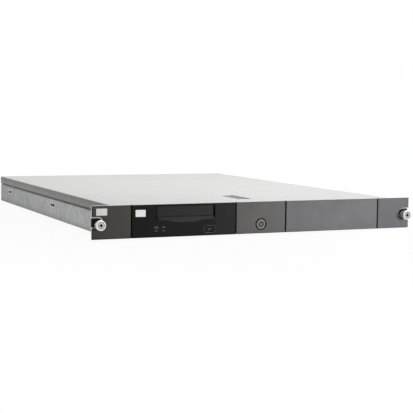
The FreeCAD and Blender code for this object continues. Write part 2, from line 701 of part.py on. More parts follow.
ear_holes = [
    circle("ear_screw_y", f"ear_screw_z + {i} * ear_screw_rise", "small_screw_r + pin_run")
    for i in range(2)
]
tray.pocket("YZ", f"-{WALL} - sheet", "case_width + 2 * sheet", *ear_holes)

# Rear panel with openings for fans, ports, inlet and supply air
PANEL_IN = f"({STEP_IN} - cover_gap)"
rear = Piece("rear_panel")
rear.pad("XZ", REAR_IN, "sheet", rect(f"-{PANEL_IN}", "sheet", PANEL_IN, WALL_TOP))
fan_places = [f"fan_x + {i} * fan_pitch_x" for i in range(2)]
fan_corners = [(f"{a} * fan_hole", f"{b} * fan_hole") for a in ("-1", "1") for b in ("-1", "1")]
cuts = []
for x in fan_places:
    cuts.append(circle(x, "fan_z", "fan_bore_r"))
    for dx, dz in fan_corners:
        cuts.append(circle(f"{x} + {dx}", f"fan_z + {dz}", "small_screw_r + screw_clear"))
port_places = [f"port_x + {i} * port_pitch" for i in range(2)]
PORT_CUT_X = "(port_width / 2 + cover_gap)"
PORT_CUT_Z = "(port_height / 2 + cover_gap)"
for x in port_places:
    cuts.append(rect(
        f"{x} - {PORT_CUT_X}", f"port_z - {PORT_CUT_Z}",
        f"{x} + {PORT_CUT_X}", f"port_z + {PORT_CUT_Z}",
    ))
    for side in ("-1", "1"):
        cuts.append(circle(f"{x} + {side} * jack_x", "port_z", "jack_stud_r + screw_clear"))
cuts.append(rect(
    "inlet_x - inlet_body_x / 2 - cover_gap", "inlet_z - inlet_body_z / 2 - cover_gap",
    "inlet_x + inlet_body_x / 2 + cover_gap", "inlet_z + inlet_body_z / 2 + cover_gap",
))
for side in ("-1", "1"):
    screw_at = (f"{side} * cover_screw_x", "cover_top - cover_screw_drop")
    cuts.append(circle(*screw_at, "small_screw_r + screw_clear"))
rear.pocket("XZ", f"{REAR_IN} - sheet", "3 * sheet", *cuts)
vent = rear.pocket(
    "XZ", f"{REAR_IN} - sheet", "3 * sheet",
    rect("vent_x", "vent_low", "vent_x + vent_width", "vent_high", "vent_width / 2.2"),
)
rear.row(vent, "X", "vent_pitch", VENT_SLOTS)

# Cover: folded sheet with side flanges, a rear flange and the latch opening
cover = Piece("top_cover")
cover_half = [
    (WALL, SKIRT_LOW),
    (WALL, "cover_top", "bend"),
]
cover_inner = [
    (f"-({WALL} - cover_sheet)", SKIRT_LOW),
    (f"-({WALL} - cover_sheet)", UNDER_COVER, "bend - cover_sheet"),
    (f"{WALL} - cover_sheet", UNDER_COVER, "bend - cover_sheet"),
    (f"{WALL} - cover_sheet", SKIRT_LOW),
]
cover_other = [(f"-{corner[0]}",) + corner[1:] for corner in reversed(cover_half)]
cover.pad("XZ", "cover_gap", "case_depth - cover_gap", cover_half + cover_other + cover_inner)
FLANGE_X = f"({WALL} - bend)"
LIP_TOP = "(cover_top - cover_sheet / 2)"
cover.pad(
    "XZ", "case_depth - cover_sheet", "cover_sheet",
    rect(f"-{FLANGE_X}", "cover_top - rear_lip", FLANGE_X, LIP_TOP),
)
for side in ("-1", "1"):
    tab_low, tab_high = [f"{side} * cover_screw_x {way} rear_tab_width / 2" for way in "-+"]
    cover.pad(
        "XZ", "case_depth - cover_sheet", "cover_sheet",
        rect(tab_low, "cover_top - rear_tab", tab_high, LIP_TOP),
    )
LATCH_BACK = "(latch_front + latch_length)"
cover.pocket(
    "XY", f"{UNDER_COVER} - cover_sheet", "3 * cover_sheet",
    rect("-latch_width / 2", "latch_front", "latch_width / 2", LATCH_BACK, "bend"),
)
screw_cuts = [
    circle(f"{side} * cover_screw_x", "cover_top - cover_screw_drop", "small_screw_r + screw_clear / 2")
    for side in ("-1", "1")
]
cover.pocket("XZ", "case_depth - 2 * cover_sheet", "3 * cover_sheet", *screw_cuts)

COVER_SCREW = "(small_head_t + cover_sheet + cover_gap + sheet + 2)"
cover_screws = []
for side in ("-1", "1"):
    spot = (f"{side} * cover_screw_x", "cover_top - cover_screw_drop")
    shank_start = f"case_depth + small_head_t - {COVER_SCREW}"
    head = rod(spot[0], "case_depth", spot[1], "Y", "small_head_r", "small_head_t")
    shank = rod(spot[0], shank_start, spot[1], "Y", "small_screw_r", f"{COVER_SCREW} - small_head_t / 2")
    cover_screws.append(joined("CoverScrew", "MultiFuse", [head, shank]))
joined("cover_screws", "Compound", cover_screws)

# Latch: a dish under the cover opening, a lever in it and its pin
dish = Piece("latch_dish")
DISH_X = "(latch_width / 2 + latch_wall)"
DISH_FLOOR = "(cover_top - latch_deep)"
dish.pad(
    "XY", f"{DISH_FLOOR} - latch_wall", "latch_deep + latch_wall - cover_sheet",
    rect(
        f"-{DISH_X}", "latch_front - latch_wall",
        DISH_X, f"{LATCH_BACK} + latch_wall", "bend + latch_wall",
    ),
)
dish.pad(
    "XY", f"{UNDER_COVER} - latch_wall", "latch_wall",
    rect(
        f"-({DISH_X} + latch_lip)", "latch_front - latch_wall - latch_lip",
        f"{DISH_X} + latch_lip", f"{LATCH_BACK} + latch_wall + latch_lip", "latch_lip",
    ),
)
dish.pocket(
    "XY", DISH_FLOOR, "latch_deep",
    rect("-latch_width / 2", "latch_front", "latch_width / 2", LATCH_BACK, "bend"),
)
PIN_Y = f"({LATCH_BACK} - lever_gap - lever_hub_r - lever_turn)"
PIN_Z = "(cover_top - lever_sink - lever_hub_r)"
dish.pocket("YZ", f"-{DISH_X}", f"2 * {DISH_X}", circle(PIN_Y, PIN_Z, "lever_pin_r"))

lever = Piece("latch_lever")
LEVER_TOP = "(cover_top - lever_sink)"
LEVER_X = "(latch_width / 2 - lever_gap)"
lever.pad(
    "YZ", f"-{LEVER_X}", f"2 * {LEVER_X}",
    [
        ("latch_front + lever_finger", f"{LEVER_TOP} - lever_t", "lever_t / 3"),
        (f"{PIN_Y} - 2 * lever_hub_r", f"{LEVER_TOP} - lever_t"),
        (f"{PIN_Y} - lever_hub_r", f"{PIN_Z} - lever_hub_r"),
        (f"{PIN_Y} + lever_hub_r", f"{PIN_Z} - lever_hub_r", "lever_hub_r * 0.98"),
        (f"{PIN_Y} + lever_hub_r", LEVER_TOP, "lever_hub_r * 0.98"),
        ("latch_front + lever_finger", LEVER_TOP, "lever_t / 3"),
    ],
)
LEVER_BORE = "(lever_pin_r + pin_run)"
lever.pocket("YZ", f"-{LEVER_X} - 1", f"2 * {LEVER_X} + 2", circle(PIN_Y, PIN_Z, LEVER_BORE))
latch_pin = rod(f"-{DISH_X}", PIN_Y, PIN_Z, "X", "lever_pin_r", f"2 * {DISH_X}")
joined("latch_pin", "Compound", [latch_pin])

# Rack ears, ear mouldings and the captive rack screws, one set for each side
NOTCH_IN = "(panel_width / 2 - notch_depth)"
BEZEL_IN = f"({BAY_OUT} + section_gap / 2)"


def notch(side, height, reach="panel_width / 2 + 2"):
    """Outline of an ear notch, round at its inner end and as far out as its reach."""
    half = f"(({height}) / 2)"
    inner = f"{side} * ({NOTCH_IN} + notch_height / 2 - {half})"
    outer = f"{side} * ({reach})"
    low, high = f"notch_z - {half}", f"notch_z + {half}"
    round_end = f"{half} * 0.98"
    return [(inner, low, round_end), (outer, low), (outer, high), (inner, high, round_end)]


def rack_side(word, side):
    """Ear steel, moulding, notch insert, retainer and spring-loaded screw of one side."""
    ear = Piece(f"rack_ear_{word}")
    ear.pad(
        "XZ", "-ear_steel", "ear_steel",
        rect(
            f"{side} * {LEG_IN}", "panel_lift + ear_inset",
            f"{side} * (panel_width / 2 - ear_inset)", f"{PANEL_TOP} - ear_inset",
        ),
    )
    ear.pad(
        "XY", "ear_leg_low", "ear_leg_high - ear_leg_low",
        rect(f"{side} * {LEG_IN}", "-ear_steel / 2", f"{side} * {LEG_OUT}", "ear_leg"),
    )
    ear.pocket("XZ", "-2 * ear_steel", "3 * ear_steel", notch(side, "slot_height"))
    ear.pocket(
        "XZ", "-ear_relief", "2 * ear_relief",
        rect(f"{side} * {LEG_OUT}", "0", f"{side} * ({WALL} + ear_relief)", f"{PANEL_TOP} + ear_relief"),
    )
    holes = [
        circle("ear_screw_y", f"ear_screw_z + {i} * ear_screw_rise", "small_screw_r + screw_clear")
        for i in range(2)
    ]
    ear.pocket("YZ", f"{side} * {LEG_OUT} - 2 * ear_steel", "4 * ear_steel", *holes)

    bezel = Piece(f"ear_bezel_{word}")
    bezel.pad(
        "XZ", PANEL_FRONT, "bezel_wall",
        rect(f"{side} * {BEZEL_IN}", "panel_lift", f"{side} * panel_width / 2", PANEL_TOP),
    )
    bezel.pad(
        "XZ", "-ear_steel - bezel_wall / 2", "ear_steel + bezel_wall / 2",
        rect(f"{side} * {BEZEL_IN}", "panel_lift", f"{side} * ({LEG_IN} - section_gap / 2)", PANEL_TOP),
    )
    bezel.pocket("XZ", f"{PANEL_FRONT} - 1", "bezel_wall + 2", notch(side, "notch_height"))
    bezel.edges("Fillet", "edge_round", flat_at("Y", PANEL_FRONT))

    x = f"{side} * screw_x"
    insert = Piece("NotchInsert")
    insert.pad(
        "XZ", "insert_sink - ear_steel", "ear_steel - 2 * insert_sink",
        notch(side, "slot_height - 2 * insert_gap", "panel_width / 2 - ear_inset"),
    )
    insert.pocket("XZ", "-2 * ear_steel", "3 * ear_steel", circle(x, SCREW_Z, "ferrule_r + insert_gap"))

    collar_front = "(-(ear_steel + ferrule_collar_t))"
    ferrule = Piece("Retainer", x, "0", SCREW_Z)
    ferrule.revolve([
        ("ferrule_bore_r", f"{collar_front} - ferrule_sleeve"),
        ("ferrule_sleeve_r", f"{collar_front} - ferrule_sleeve"),
        ("ferrule_sleeve_r", collar_front),
        ("ferrule_collar_r", collar_front),
        ("ferrule_collar_r", "-ear_steel"),
        ("ferrule_r", "-ear_steel"),
        ("ferrule_r", "0"),
        ("ferrule_bore_r", "0"),
    ])

    knob = Piece(f"thumb_knob_{word}", x, "0", SCREW_Z)
    seat = f"({KNOB_FACE} + head_seat)"
    knob.revolve([
        ("shank_r", seat),
        ("head_r", seat),
        ("head_r", KNOB_FACE),
        ("knob_r", KNOB_FACE, "knob_round"),
        ("knob_r", KNOB_BACK, "knob_round / 2"),
        ("knob_well_r", KNOB_BACK),
        ("knob_well_r", WELL_FLOOR),
        ("shank_r", WELL_FLOOR),
    ])

    screw = Piece(f"thumb_screw_{word}", x, "0", SCREW_Z)
    thread_end = "(thread_start + thread_length)"
    head_top = f"({KNOB_FACE} + head_gap)"
    screw.revolve([
        ("0", head_top),
        ("head_r - head_gap", head_top, "head_gap * 2"),
        ("head_r - head_gap", seat),
        ("shank_r", seat),
        ("shank_r", f"{WELL_FLOOR} + knob_well / 2"),
        ("neck_r", f"{WELL_FLOOR} + knob_well / 2"),
        ("neck_r", "thread_start"),
        ("thread_r", "thread_start"),
        ("thread_r", thread_end),
        ("neck_r", f"{thread_end} + thread_r - neck_r"),
        ("0", f"{thread_end} + thread_r - neck_r"),
    ])
    arm, half = "(cross_length / 2)", "(cross_width / 2)"
    screw.pocket("XZ", f"{head_top} - 1", "cross_depth + 1", rect(f"-{arm}", f"-{half}", arm, half))
    screw.pocket("XZ", f"{head_top} - 1", "cross_depth + 1", rect(f"-{half}", f"-{arm}", half, arm))

    washer = Piece(f"thrust_washer_{word}", x, "0", SCREW_Z)
    washer_front = f"({WELL_FLOOR} + run_gap)"
    washer.revolve([
        ("washer_bore_r", washer_front),
        ("washer_r", washer_front),
        ("washer_r", f"{washer_front} + washer_t"),
        ("washer_bore_r", f"{washer_front} + washer_t"),
    ])
    coil(
        f"screw_spring_{word}", x, SCREW_Z, f"{washer_front} + washer_t", collar_front,
        "coil_r", "coil_wire_r", "coil_turns",
    )
    return ferrule.body, insert.body


rack_sets = [rack_side("left", "-1"), rack_side("right", "1")]
joined("screw_retainers", "Compound", [retainer for retainer, _ in rack_sets])
joined("notch_inserts", "Compound", [insert for _, insert in rack_sets])

ear_screws = []
SHANK = f"({WALL} - {LEG_IN} + small_head_t / 2)"
for head_start, shank_start in (
    (f"-{LEG_IN}", f"-{WALL}"),
    (f"{LEG_IN} - small_head_t", f"{WALL} - {SHANK}"),
):
    for i in range(2):
        z = f"ear_screw_z + {i} * ear_screw_rise"
        head = rod(head_start, "ear_screw_y", z, "X", "small_head_r", "small_head_t")
        shank = rod(shank_start, "ear_screw_y", z, "X", "small_screw_r", SHANK)
        ear_screws.append(joined("EarScrew", "MultiFuse", [head, shank]))
joined("ear_screws", "Compound", ear_screws)

# Centre section with the power button, its spring, board and switch
CENTRE_X = f"({BAY_IN} - section_gap / 2)"
centre = Piece("centre_bezel")
centre.pad(
    "XZ", PANEL_FRONT, f"-{PANEL_FRONT}",
    rect(f"-{CENTRE_X}", "panel_lift", CENTRE_X, PANEL_TOP),
)
BUTTON_HOLE = circle("0", "button_z", "button_r + button_gap")
centre.pocket("XZ", f"{PANEL_FRONT} - 1", "bezel_wall + ear_steel + 2", BUTTON_HOLE)
centre.pocket("XZ", "-button_well", "button_well + 1", circle("0", "button_z", "button_well_r"))
centre.edges("Fillet", "edge_round", flat_at("Y", PANEL_FRONT))

button = Piece("power_button", "0", "0", "button_z")
BUTTON_FACE = f"({PANEL_FRONT} - button_proud)"
FLANGE_FRONT = "(run_gap - button_well)"
button.revolve([
    ("0", BUTTON_FACE),
    ("button_r", BUTTON_FACE, "button_round"),
    ("button_r", FLANGE_FRONT),
    ("button_flange_r", FLANGE_FRONT),
    ("button_flange_r", f"{FLANGE_FRONT} + button_flange_t"),
    ("plunger_r", f"{FLANGE_FRONT} + button_flange_t"),
    ("plunger_r", "plunger_end"),
    ("0", "plunger_end"),
])
coil(
    "power_button_spring", "0", "button_z", f"{FLANGE_FRONT} + button_flange_t", "board_y",
    "button_coil_r", "button_coil_wire_r", "button_coil_turns",
)
board = Piece("power_board")
board.pad(
    "XZ", "board_y", "board_t",
    rect("-board_width / 2", "board_low", "board_width / 2", "board_high", "bend"),
)


def push_switch(name, x, board_face, z):
    """A small push switch on the front of a circuit board."""
    item = Piece(name, x, "0", z)
    half = "(switch_size / 2)"
    outline = rect(f"-{half}", f"-{half}", half, half, "edge_round / 2")
    item.pad("XZ", f"{board_face} - switch_t", "switch_t", outline)
    return item.body


switches = [push_switch("PowerSwitch", "0", "board_y", "button_z")]

# Filler of the second bay, held by four sprung clips
filler = Piece("bay_filler")
FILL_IN, FILL_OUT = f"({BAY_IN} + section_gap / 2)", f"({BAY_OUT} - section_gap / 2)"
filler.pad("XZ", PANEL_FRONT, "bezel_wall", rect(FILL_IN, "panel_lift", FILL_OUT, PANEL_TOP))
filler.pad(
    "XZ", "-ear_steel - bezel_wall / 2", "ear_steel + bezel_wall / 2 - run_gap",
    rect(FILL_IN, "panel_lift", FILL_OUT, PANEL_TOP),
    rect(
        f"{FILL_IN} + filler_rib", "panel_lift + filler_rib",
        f"{FILL_OUT} - filler_rib", f"{PANEL_TOP} - filler_rib",
    ),
)
CLIP_LOW, CLIP_HIGH = "clip_z - clip_width / 2", "clip_z + clip_width / 2"
filler.pad(
    "XZ", "-ear_steel - bezel_wall / 2", "ear_steel + bezel_wall / 2 + clip_reach",
    rect(f"{FILL_IN} + clip_inset", CLIP_LOW, f"{FILL_IN} + clip_inset + clip_t", CLIP_HIGH),
    rect(f"{FILL_OUT} - clip_inset - clip_t", CLIP_LOW, f"{FILL_OUT} - clip_inset", CLIP_HIGH),
)
filler.edges("Fillet", "edge_round", flat_at("Y", PANEL_FRONT))

# Drive front moulding with door opening, bevelled ledge, finger scoop and lamp windows
DRIVE_IN, DRIVE_OUT = f"(-{BAY_IN} - section_gap / 2)", f"(-{BAY_OUT} + section_gap / 2)"
OPEN_X = "(door_width / 2 + door_side)"
OPEN_LOW, OPEN_HIGH = "(door_low - door_slack)", "(door_high + door_slack)"
front = Piece("drive_bezel")
front.pad("XZ", PANEL_FRONT, f"-{PANEL_FRONT}", rect(DRIVE_OUT, "panel_lift", DRIVE_IN, PANEL_TOP))
front.edges("Fillet", "edge_round", flat_at("Y", PANEL_FRONT))
front.pad(
    "XZ", f"{PANEL_FRONT} / 2", f"{DRIVE_BACK} - {PANEL_FRONT} / 2",
    rect(DRIVE_OUT, "sheet + cover_gap / 2", DRIVE_IN, f"{WALL_TOP} - cover_gap / 2"),
)
front.pocket(
    "XZ", f"{PANEL_FRONT} - 1", "drive_reach + 2",
    rect(f"{DRIVE_X} - {OPEN_X}", OPEN_LOW, f"{DRIVE_X} + {OPEN_X}", OPEN_HIGH),
)
LEDGE_BACK = f"({PANEL_FRONT} + ledge_deep)"
SLOPE = f"(({OPEN_LOW} - ledge_z) / ledge_deep)"
front.pocket(
    "YZ", f"{DRIVE_X} - {OPEN_X}", f"2 * {OPEN_X}",
    [
        (f"{PANEL_FRONT} - 1", f"ledge_z - {SLOPE}"),
        (LEDGE_BACK, OPEN_LOW),
        (LEDGE_BACK, f"{OPEN_LOW} + 1"),
        (f"{PANEL_FRONT} - 1", f"{OPEN_LOW} + 1"),
    ],
)
SCOOP_DROP = "(ledge_z - scoop_low)"


def scoop_outline(drop, level):
    """Flat-topped outline of the finger scoop whose rounded floor lies below a level."""
    ease = "scoop_half * 1.1"
    return [
        (f"{DRIVE_X} - scoop_half", level, None),
        (f"{DRIVE_X} - scoop_half * 0.45", f"{level} - {drop}", ease),
        (f"{DRIVE_X} + scoop_half * 0.45", f"{level} - {drop}", ease),
        (f"{DRIVE_X} + scoop_half", level, None),
        (f"{DRIVE_X} + scoop_half", f"{OPEN_LOW} + 1", None),
        (f"{DRIVE_X} - scoop_half", f"{OPEN_LOW} + 1", None),
    ]


front.loft("SubtractiveLoft", "XZ", [
    (f"{PANEL_FRONT} - 0.1", scoop_outline(SCOOP_DROP, "ledge_z")),
    (LEDGE_BACK, scoop_outline(f"({SCOOP_DROP} * 0.04)", OPEN_LOW)),
])


def pill(width, height):
    """A long round outline about the eject button centre."""
    return rect(
        f"eject_x - ({width}) / 2", f"eject_z - ({height}) / 2",
        f"eject_x + ({width}) / 2", f"eject_z + ({height}) / 2", f"({height}) / 2.04",
    )


HOLE_X, HOLE_Z = "eject_width + 2 * eject_gap", "eject_height + 2 * eject_gap"
FLANGED = "2 * eject_flange + 2 * eject_gap"
front.pocket("XZ", f"{PANEL_FRONT} - 1", "drive_reach + 2", pill(HOLE_X, HOLE_Z))
front.pocket(
    "XZ", f"{DRIVE_BACK} - eject_well", "eject_well + 1",
    pill(f"eject_width + {FLANGED}", f"eject_height + {FLANGED}"),
)


def lamp(i):
    """Outline of one lamp window."""
    x = f"lamp_x + {i} * lamp_pitch"
    return rect(
        f"{x} - lamp_width / 2", "lamp_z - lamp_height / 2",
        f"{x} + lamp_width / 2", "lamp_z + lamp_height / 2", "lamp_height / 4",
    )


front.pocket("XZ", f"{PANEL_FRONT} - 1", "drive_reach + 2", lamp(0), lamp(1))
DOOR_PIN_REACH = f"({OPEN_X} + door_pin_over)"
front.pocket(
    "YZ", f"{DRIVE_X} - {DOOR_PIN_REACH}", f"2 * {DOOR_PIN_REACH}",
    circle(DOOR_PIN_Y, "door_pin_z", "door_pin_r"),
)

# Cartridge door on its pin
door = Piece("cartridge_door")
door.pad(
    "YZ", f"{DRIVE_X} - door_width / 2", "door_width",
    [
        (DOOR_FACE, "door_low", "door_round"),
        (f"{DOOR_FACE} + door_t", "door_low", "door_round"),
        (f"{DOOR_FACE} + door_t", "door_high", "door_t / 2.05"),
        (DOOR_FACE, "door_high", "door_t / 2.05"),
    ],
)
door.pocket(
    "YZ", f"{DRIVE_X} - door_width", "2 * door_width",
    circle(DOOR_PIN_Y, "door_pin_z", "door_pin_r + pin_run"),
)
door_pin = rod(
    f"{DRIVE_X} - {DOOR_PIN_REACH}", DOOR_PIN_Y, "door_pin_z",
    "X", "door_pin_r", f"2 * {DOOR_PIN_REACH}",
)
joined("door_pin", "Compound", [door_pin])

# Eject button, its spring, the lamp windows and the board behind them
eject = Piece("eject_button")
EJECT_FACE = f"({PANEL_FRONT} + eject_sink)"
EJECT_FLANGE = f"({DRIVE_BACK} - eject_well + run_gap)"
eject.pad("XZ", EJECT_FACE, f"{EJECT_FLANGE} - {EJECT_FACE}", pill("eject_width", "eject_height"))
eject.edges("Fillet", "edge_round", flat_at("Y", EJECT_FACE))
eject.pad(
    "XZ", EJECT_FLANGE, "eject_flange_t",
    pill("eject_width + 2 * eject_flange", "eject_height + 2 * eject_flange"),
)
NOSE_BACK = f"({DRIVE_BACK} + drive_joint + nose_deep)"
NOSE_BOARD = f"({NOSE_BACK} - board_t)"
STEM_END = f"({NOSE_BOARD} - switch_t - eject_travel - run_gap)"
eject.pad(
    "XZ", f"{EJECT_FLANGE} + eject_flange_t", f"{STEM_END} - {EJECT_FLANGE} - eject_flange_t",
    circle("eject_x", "eject_z", "eject_stem_r"),
)
coil(
    "eject_spring", "eject_x", "eject_z", f"{EJECT_FLANGE} + eject_flange_t", NOSE_BOARD,
    "eject_coil_r", "eject_coil_wire_r", "eject_coil_turns",
)
nose_board = Piece("drive_front_board")
NOSE_X = "(drive_width / 2 - nose_side)"
nose_board.pad(
    "XZ", NOSE_BOARD, "board_t",
    rect(
        f"{DRIVE_X} - {NOSE_X} + cover_gap", "nose_low + cover_gap",
        f"{DRIVE_X} + {NOSE_X} - cover_gap", "nose_high - cover_gap",
    ),
)
switches.append(push_switch("EjectSwitch", "eject_x", NOSE_BOARD, "eject_z"))
joined("push_switches", "Compound", switches)
windows = []
for i in range(2):
    window = Piece(f"LampWindow{i}")
    window_front = f"({PANEL_FRONT} - lamp_proud)"
    window.pad("XZ", window_front, f"{NOSE_BOARD} - {window_front}", lamp(i))
    windows.append(window.body)
joined("lamp_windows", "Compound", windows)

# Drive housing with the cartridge space and its sheet carrier
HOUSE_FRONT = f"({DRIVE_BACK} + drive_joint)"
HOUSE_BACK = f"({HOUSE_FRONT} + drive_length)"
housing = Piece("drive_housing")
housing.pad(
    "XZ", HOUSE_FRONT, "drive_length",
    rect(f"{DRIVE_X} - drive_width / 2", "drive_low", f"{DRIVE_X} + drive_width / 2", "drive_high"),
)
housing.pocket(
    "XZ", f"{HOUSE_FRONT} - 1", "slot_deep + 1",
    rect(f"{DRIVE_X} - slot_width / 2", "slot_low", f"{DRIVE_X} + slot_width / 2", "slot_top"),
)
housing.pocket(
    "XZ", f"{HOUSE_FRONT} - 1", "door_room + 1",
    rect(f"{DRIVE_X} - {OPEN_X}", "slot_low", f"{DRIVE_X} + {OPEN_X}", "drive_high + 1"),
)
housing.pocket(
    "XZ", f"{HOUSE_FRONT} - 1", "nose_deep + 1",
    rect(f"{DRIVE_X} - {NOSE_X}", "nose_low", f"{DRIVE_X} + {NOSE_X}", "nose_high"),
)
CARRIER_X = "(slot_width / 2 - carrier_gap)"
CARRIER_LOW = "(slot_low + carrier_gap)"
carrier = Piece("cartridge_carrier")
carrier.pad(
    "XZ", f"{HOUSE_FRONT} + slot_deep - carrier_length - run_gap", "carrier_length",
    [
        (f"{DRIVE_X} - {CARRIER_X}", CARRIER_LOW),
        (f"{DRIVE_X} + {CARRIER_X}", CARRIER_LOW),
        (f"{DRIVE_X} + {CARRIER_X}", f"{CARRIER_LOW} + carrier_side"),
        (f"{DRIVE_X} + {CARRIER_X} - carrier_t", f"{CARRIER_LOW} + carrier_side"),
        (f"{DRIVE_X} + {CARRIER_X} - carrier_t", f"{CARRIER_LOW} + carrier_t"),
        (f"{DRIVE_X} - {CARRIER_X} + carrier_t", f"{CARRIER_LOW} + carrier_t"),
        (f"{DRIVE_X} - {CARRIER_X} + carrier_t", f"{CARRIER_LOW} + carrier_side"),
        (f"{DRIVE_X} - {CARRIER_X}", f"{CARRIER_LOW} + carrier_side"),
    ],
)

# Folded brackets beside the drive and, ready for a second drive, in the empty bay
def bracket(name, centre, side):
    """An angle with its web beside a drive and its foot on the case floor."""
    item = Piece(name)
    web = f"{centre} + {side} * (drive_width / 2)"
    item.pad(
        "XZ", "bracket_start", "bracket_length",
        [
            (web, "sheet"),
            (f"{web} + {side} * bracket_foot", "sheet"),
            (f"{web} + {side} * bracket_foot", "sheet + bracket_t"),
            (f"{web} + {side} * bracket_t", "sheet + bracket_t"),
            (f"{web} + {side} * bracket_t", "bracket_high"),
            (web, "bracket_high"),
        ],
    )
    hole_r = "(small_screw_r + screw_clear / 2)"
    holes = [
        circle(f"drive_screw_y + {i} * drive_screw_pitch", "drive_screw_z", hole_r)
        for i in range(2)
    ]
    item.pocket("YZ", f"{web} - 2 * bracket_t", "4 * bracket_t", *holes)
    return item.body


bracket("drive_bracket_left", DRIVE_X, "-1")
bracket("drive_bracket_right", DRIVE_X, "1")
joined("spare_brackets", "Compound", [bracket(f"Spare{side}", BAY_MID, side) for side in ("-1", "1")])

drive_screws = []
for side in ("-1", "1"):
    for i in range(2):
        y = f"drive_screw_y + {i} * drive_screw_pitch"
        web = f"({DRIVE_X} + {side} * (drive_width / 2 + bracket_t))"
        start = f"{web} - small_head_t" if side == "-1" else web
        head = rod(start, y, "drive_screw_z", "X", "small_head_r", "small_head_t")
        shank_start = f"{web} - small_head_t / 2" if side == "-1" else f"{web} - bracket_t"
        shank_length = "bracket_t + small_head_t / 2"
        shank = rod(shank_start, y, "drive_screw_z", "X", "small_screw_r", shank_length)
        drive_screws.append(joined("DriveScrew", "MultiFuse", [head, shank]))
joined("drive_screws", "Compound", drive_screws)

data_plug = Piece("drive_data_connector")
data_plug.pad(
    "XZ", HOUSE_BACK, "data_plug_reach",
    rect(
        f"{DRIVE_X} - data_plug_width / 2", "data_plug_z - data_plug_height / 2",
        f"{DRIVE_X} + data_plug_width / 2", "data_plug_z + data_plug_height / 2", "edge_round",
    ),
)
PLUG_X = f"({DRIVE_X} + power_plug_x)"
power_plug = Piece("drive_power_connector")
power_plug.pad(
    "XZ", HOUSE_BACK, "data_plug_reach",
    rect(
        f"{PLUG_X} - power_plug_width / 2", "power_plug_z - power_plug_height / 2",
        f"{PLUG_X} + power_plug_width / 2", "power_plug_z + power_plug_height / 2", "edge_round",
    ),
)

# Fans: frame with motor plate and struts, twisted-blade rotor, wire guard
FAN_FRONT = f"({REAR_IN} - fan_depth)"
EYELET_R = "(small_screw_r + screw_clear + guard_wire_r)"


def fan(word, x):
    """Frame, rotor and guard of one rear fan."""
    half = "(fan_size / 2)"
    frame = Piece(f"fan_frame_{word}", x, "0", "fan_z")
    frame.pad("XZ", FAN_FRONT, "fan_depth", rect(f"-{half}", f"-{half}", half, half, "bend"))
    frame.pocket("XZ", f"{FAN_FRONT} - 1", "fan_depth + 2", circle("0", "0", "fan_bore_r"))
    arm = "(fan_strut / 2)"
    frame.pad(
        "XZ", FAN_FRONT, "fan_mount_t",
        rect(f"-{arm}", "-fan_bore_r - 1", arm, "fan_bore_r + 1"),
    )
    frame.pad(
        "XZ", FAN_FRONT, "fan_mount_t",
        rect("-fan_bore_r - 1", f"-{arm}", "fan_bore_r + 1", arm),
    )
    frame.pad("XZ", FAN_FRONT, "fan_mount_t", circle("0", "0", "fan_hub_r"))
    hub_front = f"({FAN_FRONT} + fan_mount_t + 3 * run_gap)"
    hub_back = f"({hub_front} + fan_hub_depth)"
    post_end = f"({hub_back} - fan_hub_wall - 3 * run_gap)"
    frame.pad("XZ", FAN_FRONT, f"{post_end} - {FAN_FRONT}", circle("0", "0", "fan_post_r"))
    frame.pocket("XZ", f"{FAN_FRONT} + fan_mount_t", "fan_depth", circle("0", "0", "fan_shaft_r + pin_run"))
    frame.pocket("XZ", f"{FAN_FRONT} - 1", "fan_depth + 2", *[
        circle(dx, dz, "small_screw_r + screw_clear") for dx, dz in fan_corners
    ])

    rotor = Piece(f"fan_rotor_{word}", x, "0", "fan_z")
    rotor.revolve([
        ("fan_hub_r - fan_hub_wall", hub_front),
        ("fan_hub_r", hub_front),
        ("fan_hub_r", hub_back, "fan_hub_wall"),
        ("0", hub_back),
        ("0", f"{FAN_FRONT} + fan_mount_t + run_gap"),
        ("fan_shaft_r", f"{FAN_FRONT} + fan_mount_t + run_gap"),
        ("fan_shaft_r", f"{hub_back} - fan_hub_wall"),
        ("fan_hub_r - fan_hub_wall", f"{hub_back} - fan_hub_wall"),
    ])
    middle = f"({hub_front} + fan_hub_depth / 2)"

    def blade(pitch):
        """A slim blade section set at a pitch angle, in the YZ plane."""
        along_y, along_z = f"sin({pitch} * 1 deg)", f"cos({pitch} * 1 deg)"
        ends = []
        for c, t in ((-1, -1), (1, -1), (1, 1), (-1, 1)):
            y = f"{middle} + {c} * blade_chord / 2 * {along_y} - {t} * blade_t / 2 * {along_z}"
            z = f"{c} * blade_chord / 2 * {along_z} + {t} * blade_t / 2 * {along_y}"
            ends.append((y, z))
        return ends

    one = rotor.loft("AdditiveLoft", "YZ", [
        ("blade_root", blade("blade_root_pitch")),
        ("blade_tip", blade("blade_tip_pitch")),
    ])
    rotor.polar(one, BLADES)

    leg_y = f"({REAR} + guard_wire_r)"
    ring_y = f"({REAR} + (1 + guard_over) * guard_wire_r)"
    wires = [
        ring(x, ring_y, "fan_z", f"guard_first_r + {i} * guard_step", "guard_wire_r")
        for i in range(GUARD_RINGS)
    ]
    for dx, dz in fan_corners:
        wires.append(ring(f"{x} + {dx}", leg_y, f"fan_z + {dz}", EYELET_R, "guard_wire_r"))
    reach = f"(fan_hole - {EYELET_R} * {COS_45})"
    length = f"2 * {reach} / {COS_45}"
    wires.append(rod(f"{x} - {reach}", leg_y, f"fan_z - {reach}", "rising", "guard_wire_r", length))
    wires.append(rod(f"{x} - {reach}", leg_y, f"fan_z + {reach}", "falling", "guard_wire_r", length))
    return joined("FanGuard", "MultiFuse", wires)


guards = [fan("left", fan_places[0]), fan("right", fan_places[1])]
joined("fan_guards", "Compound", guards)

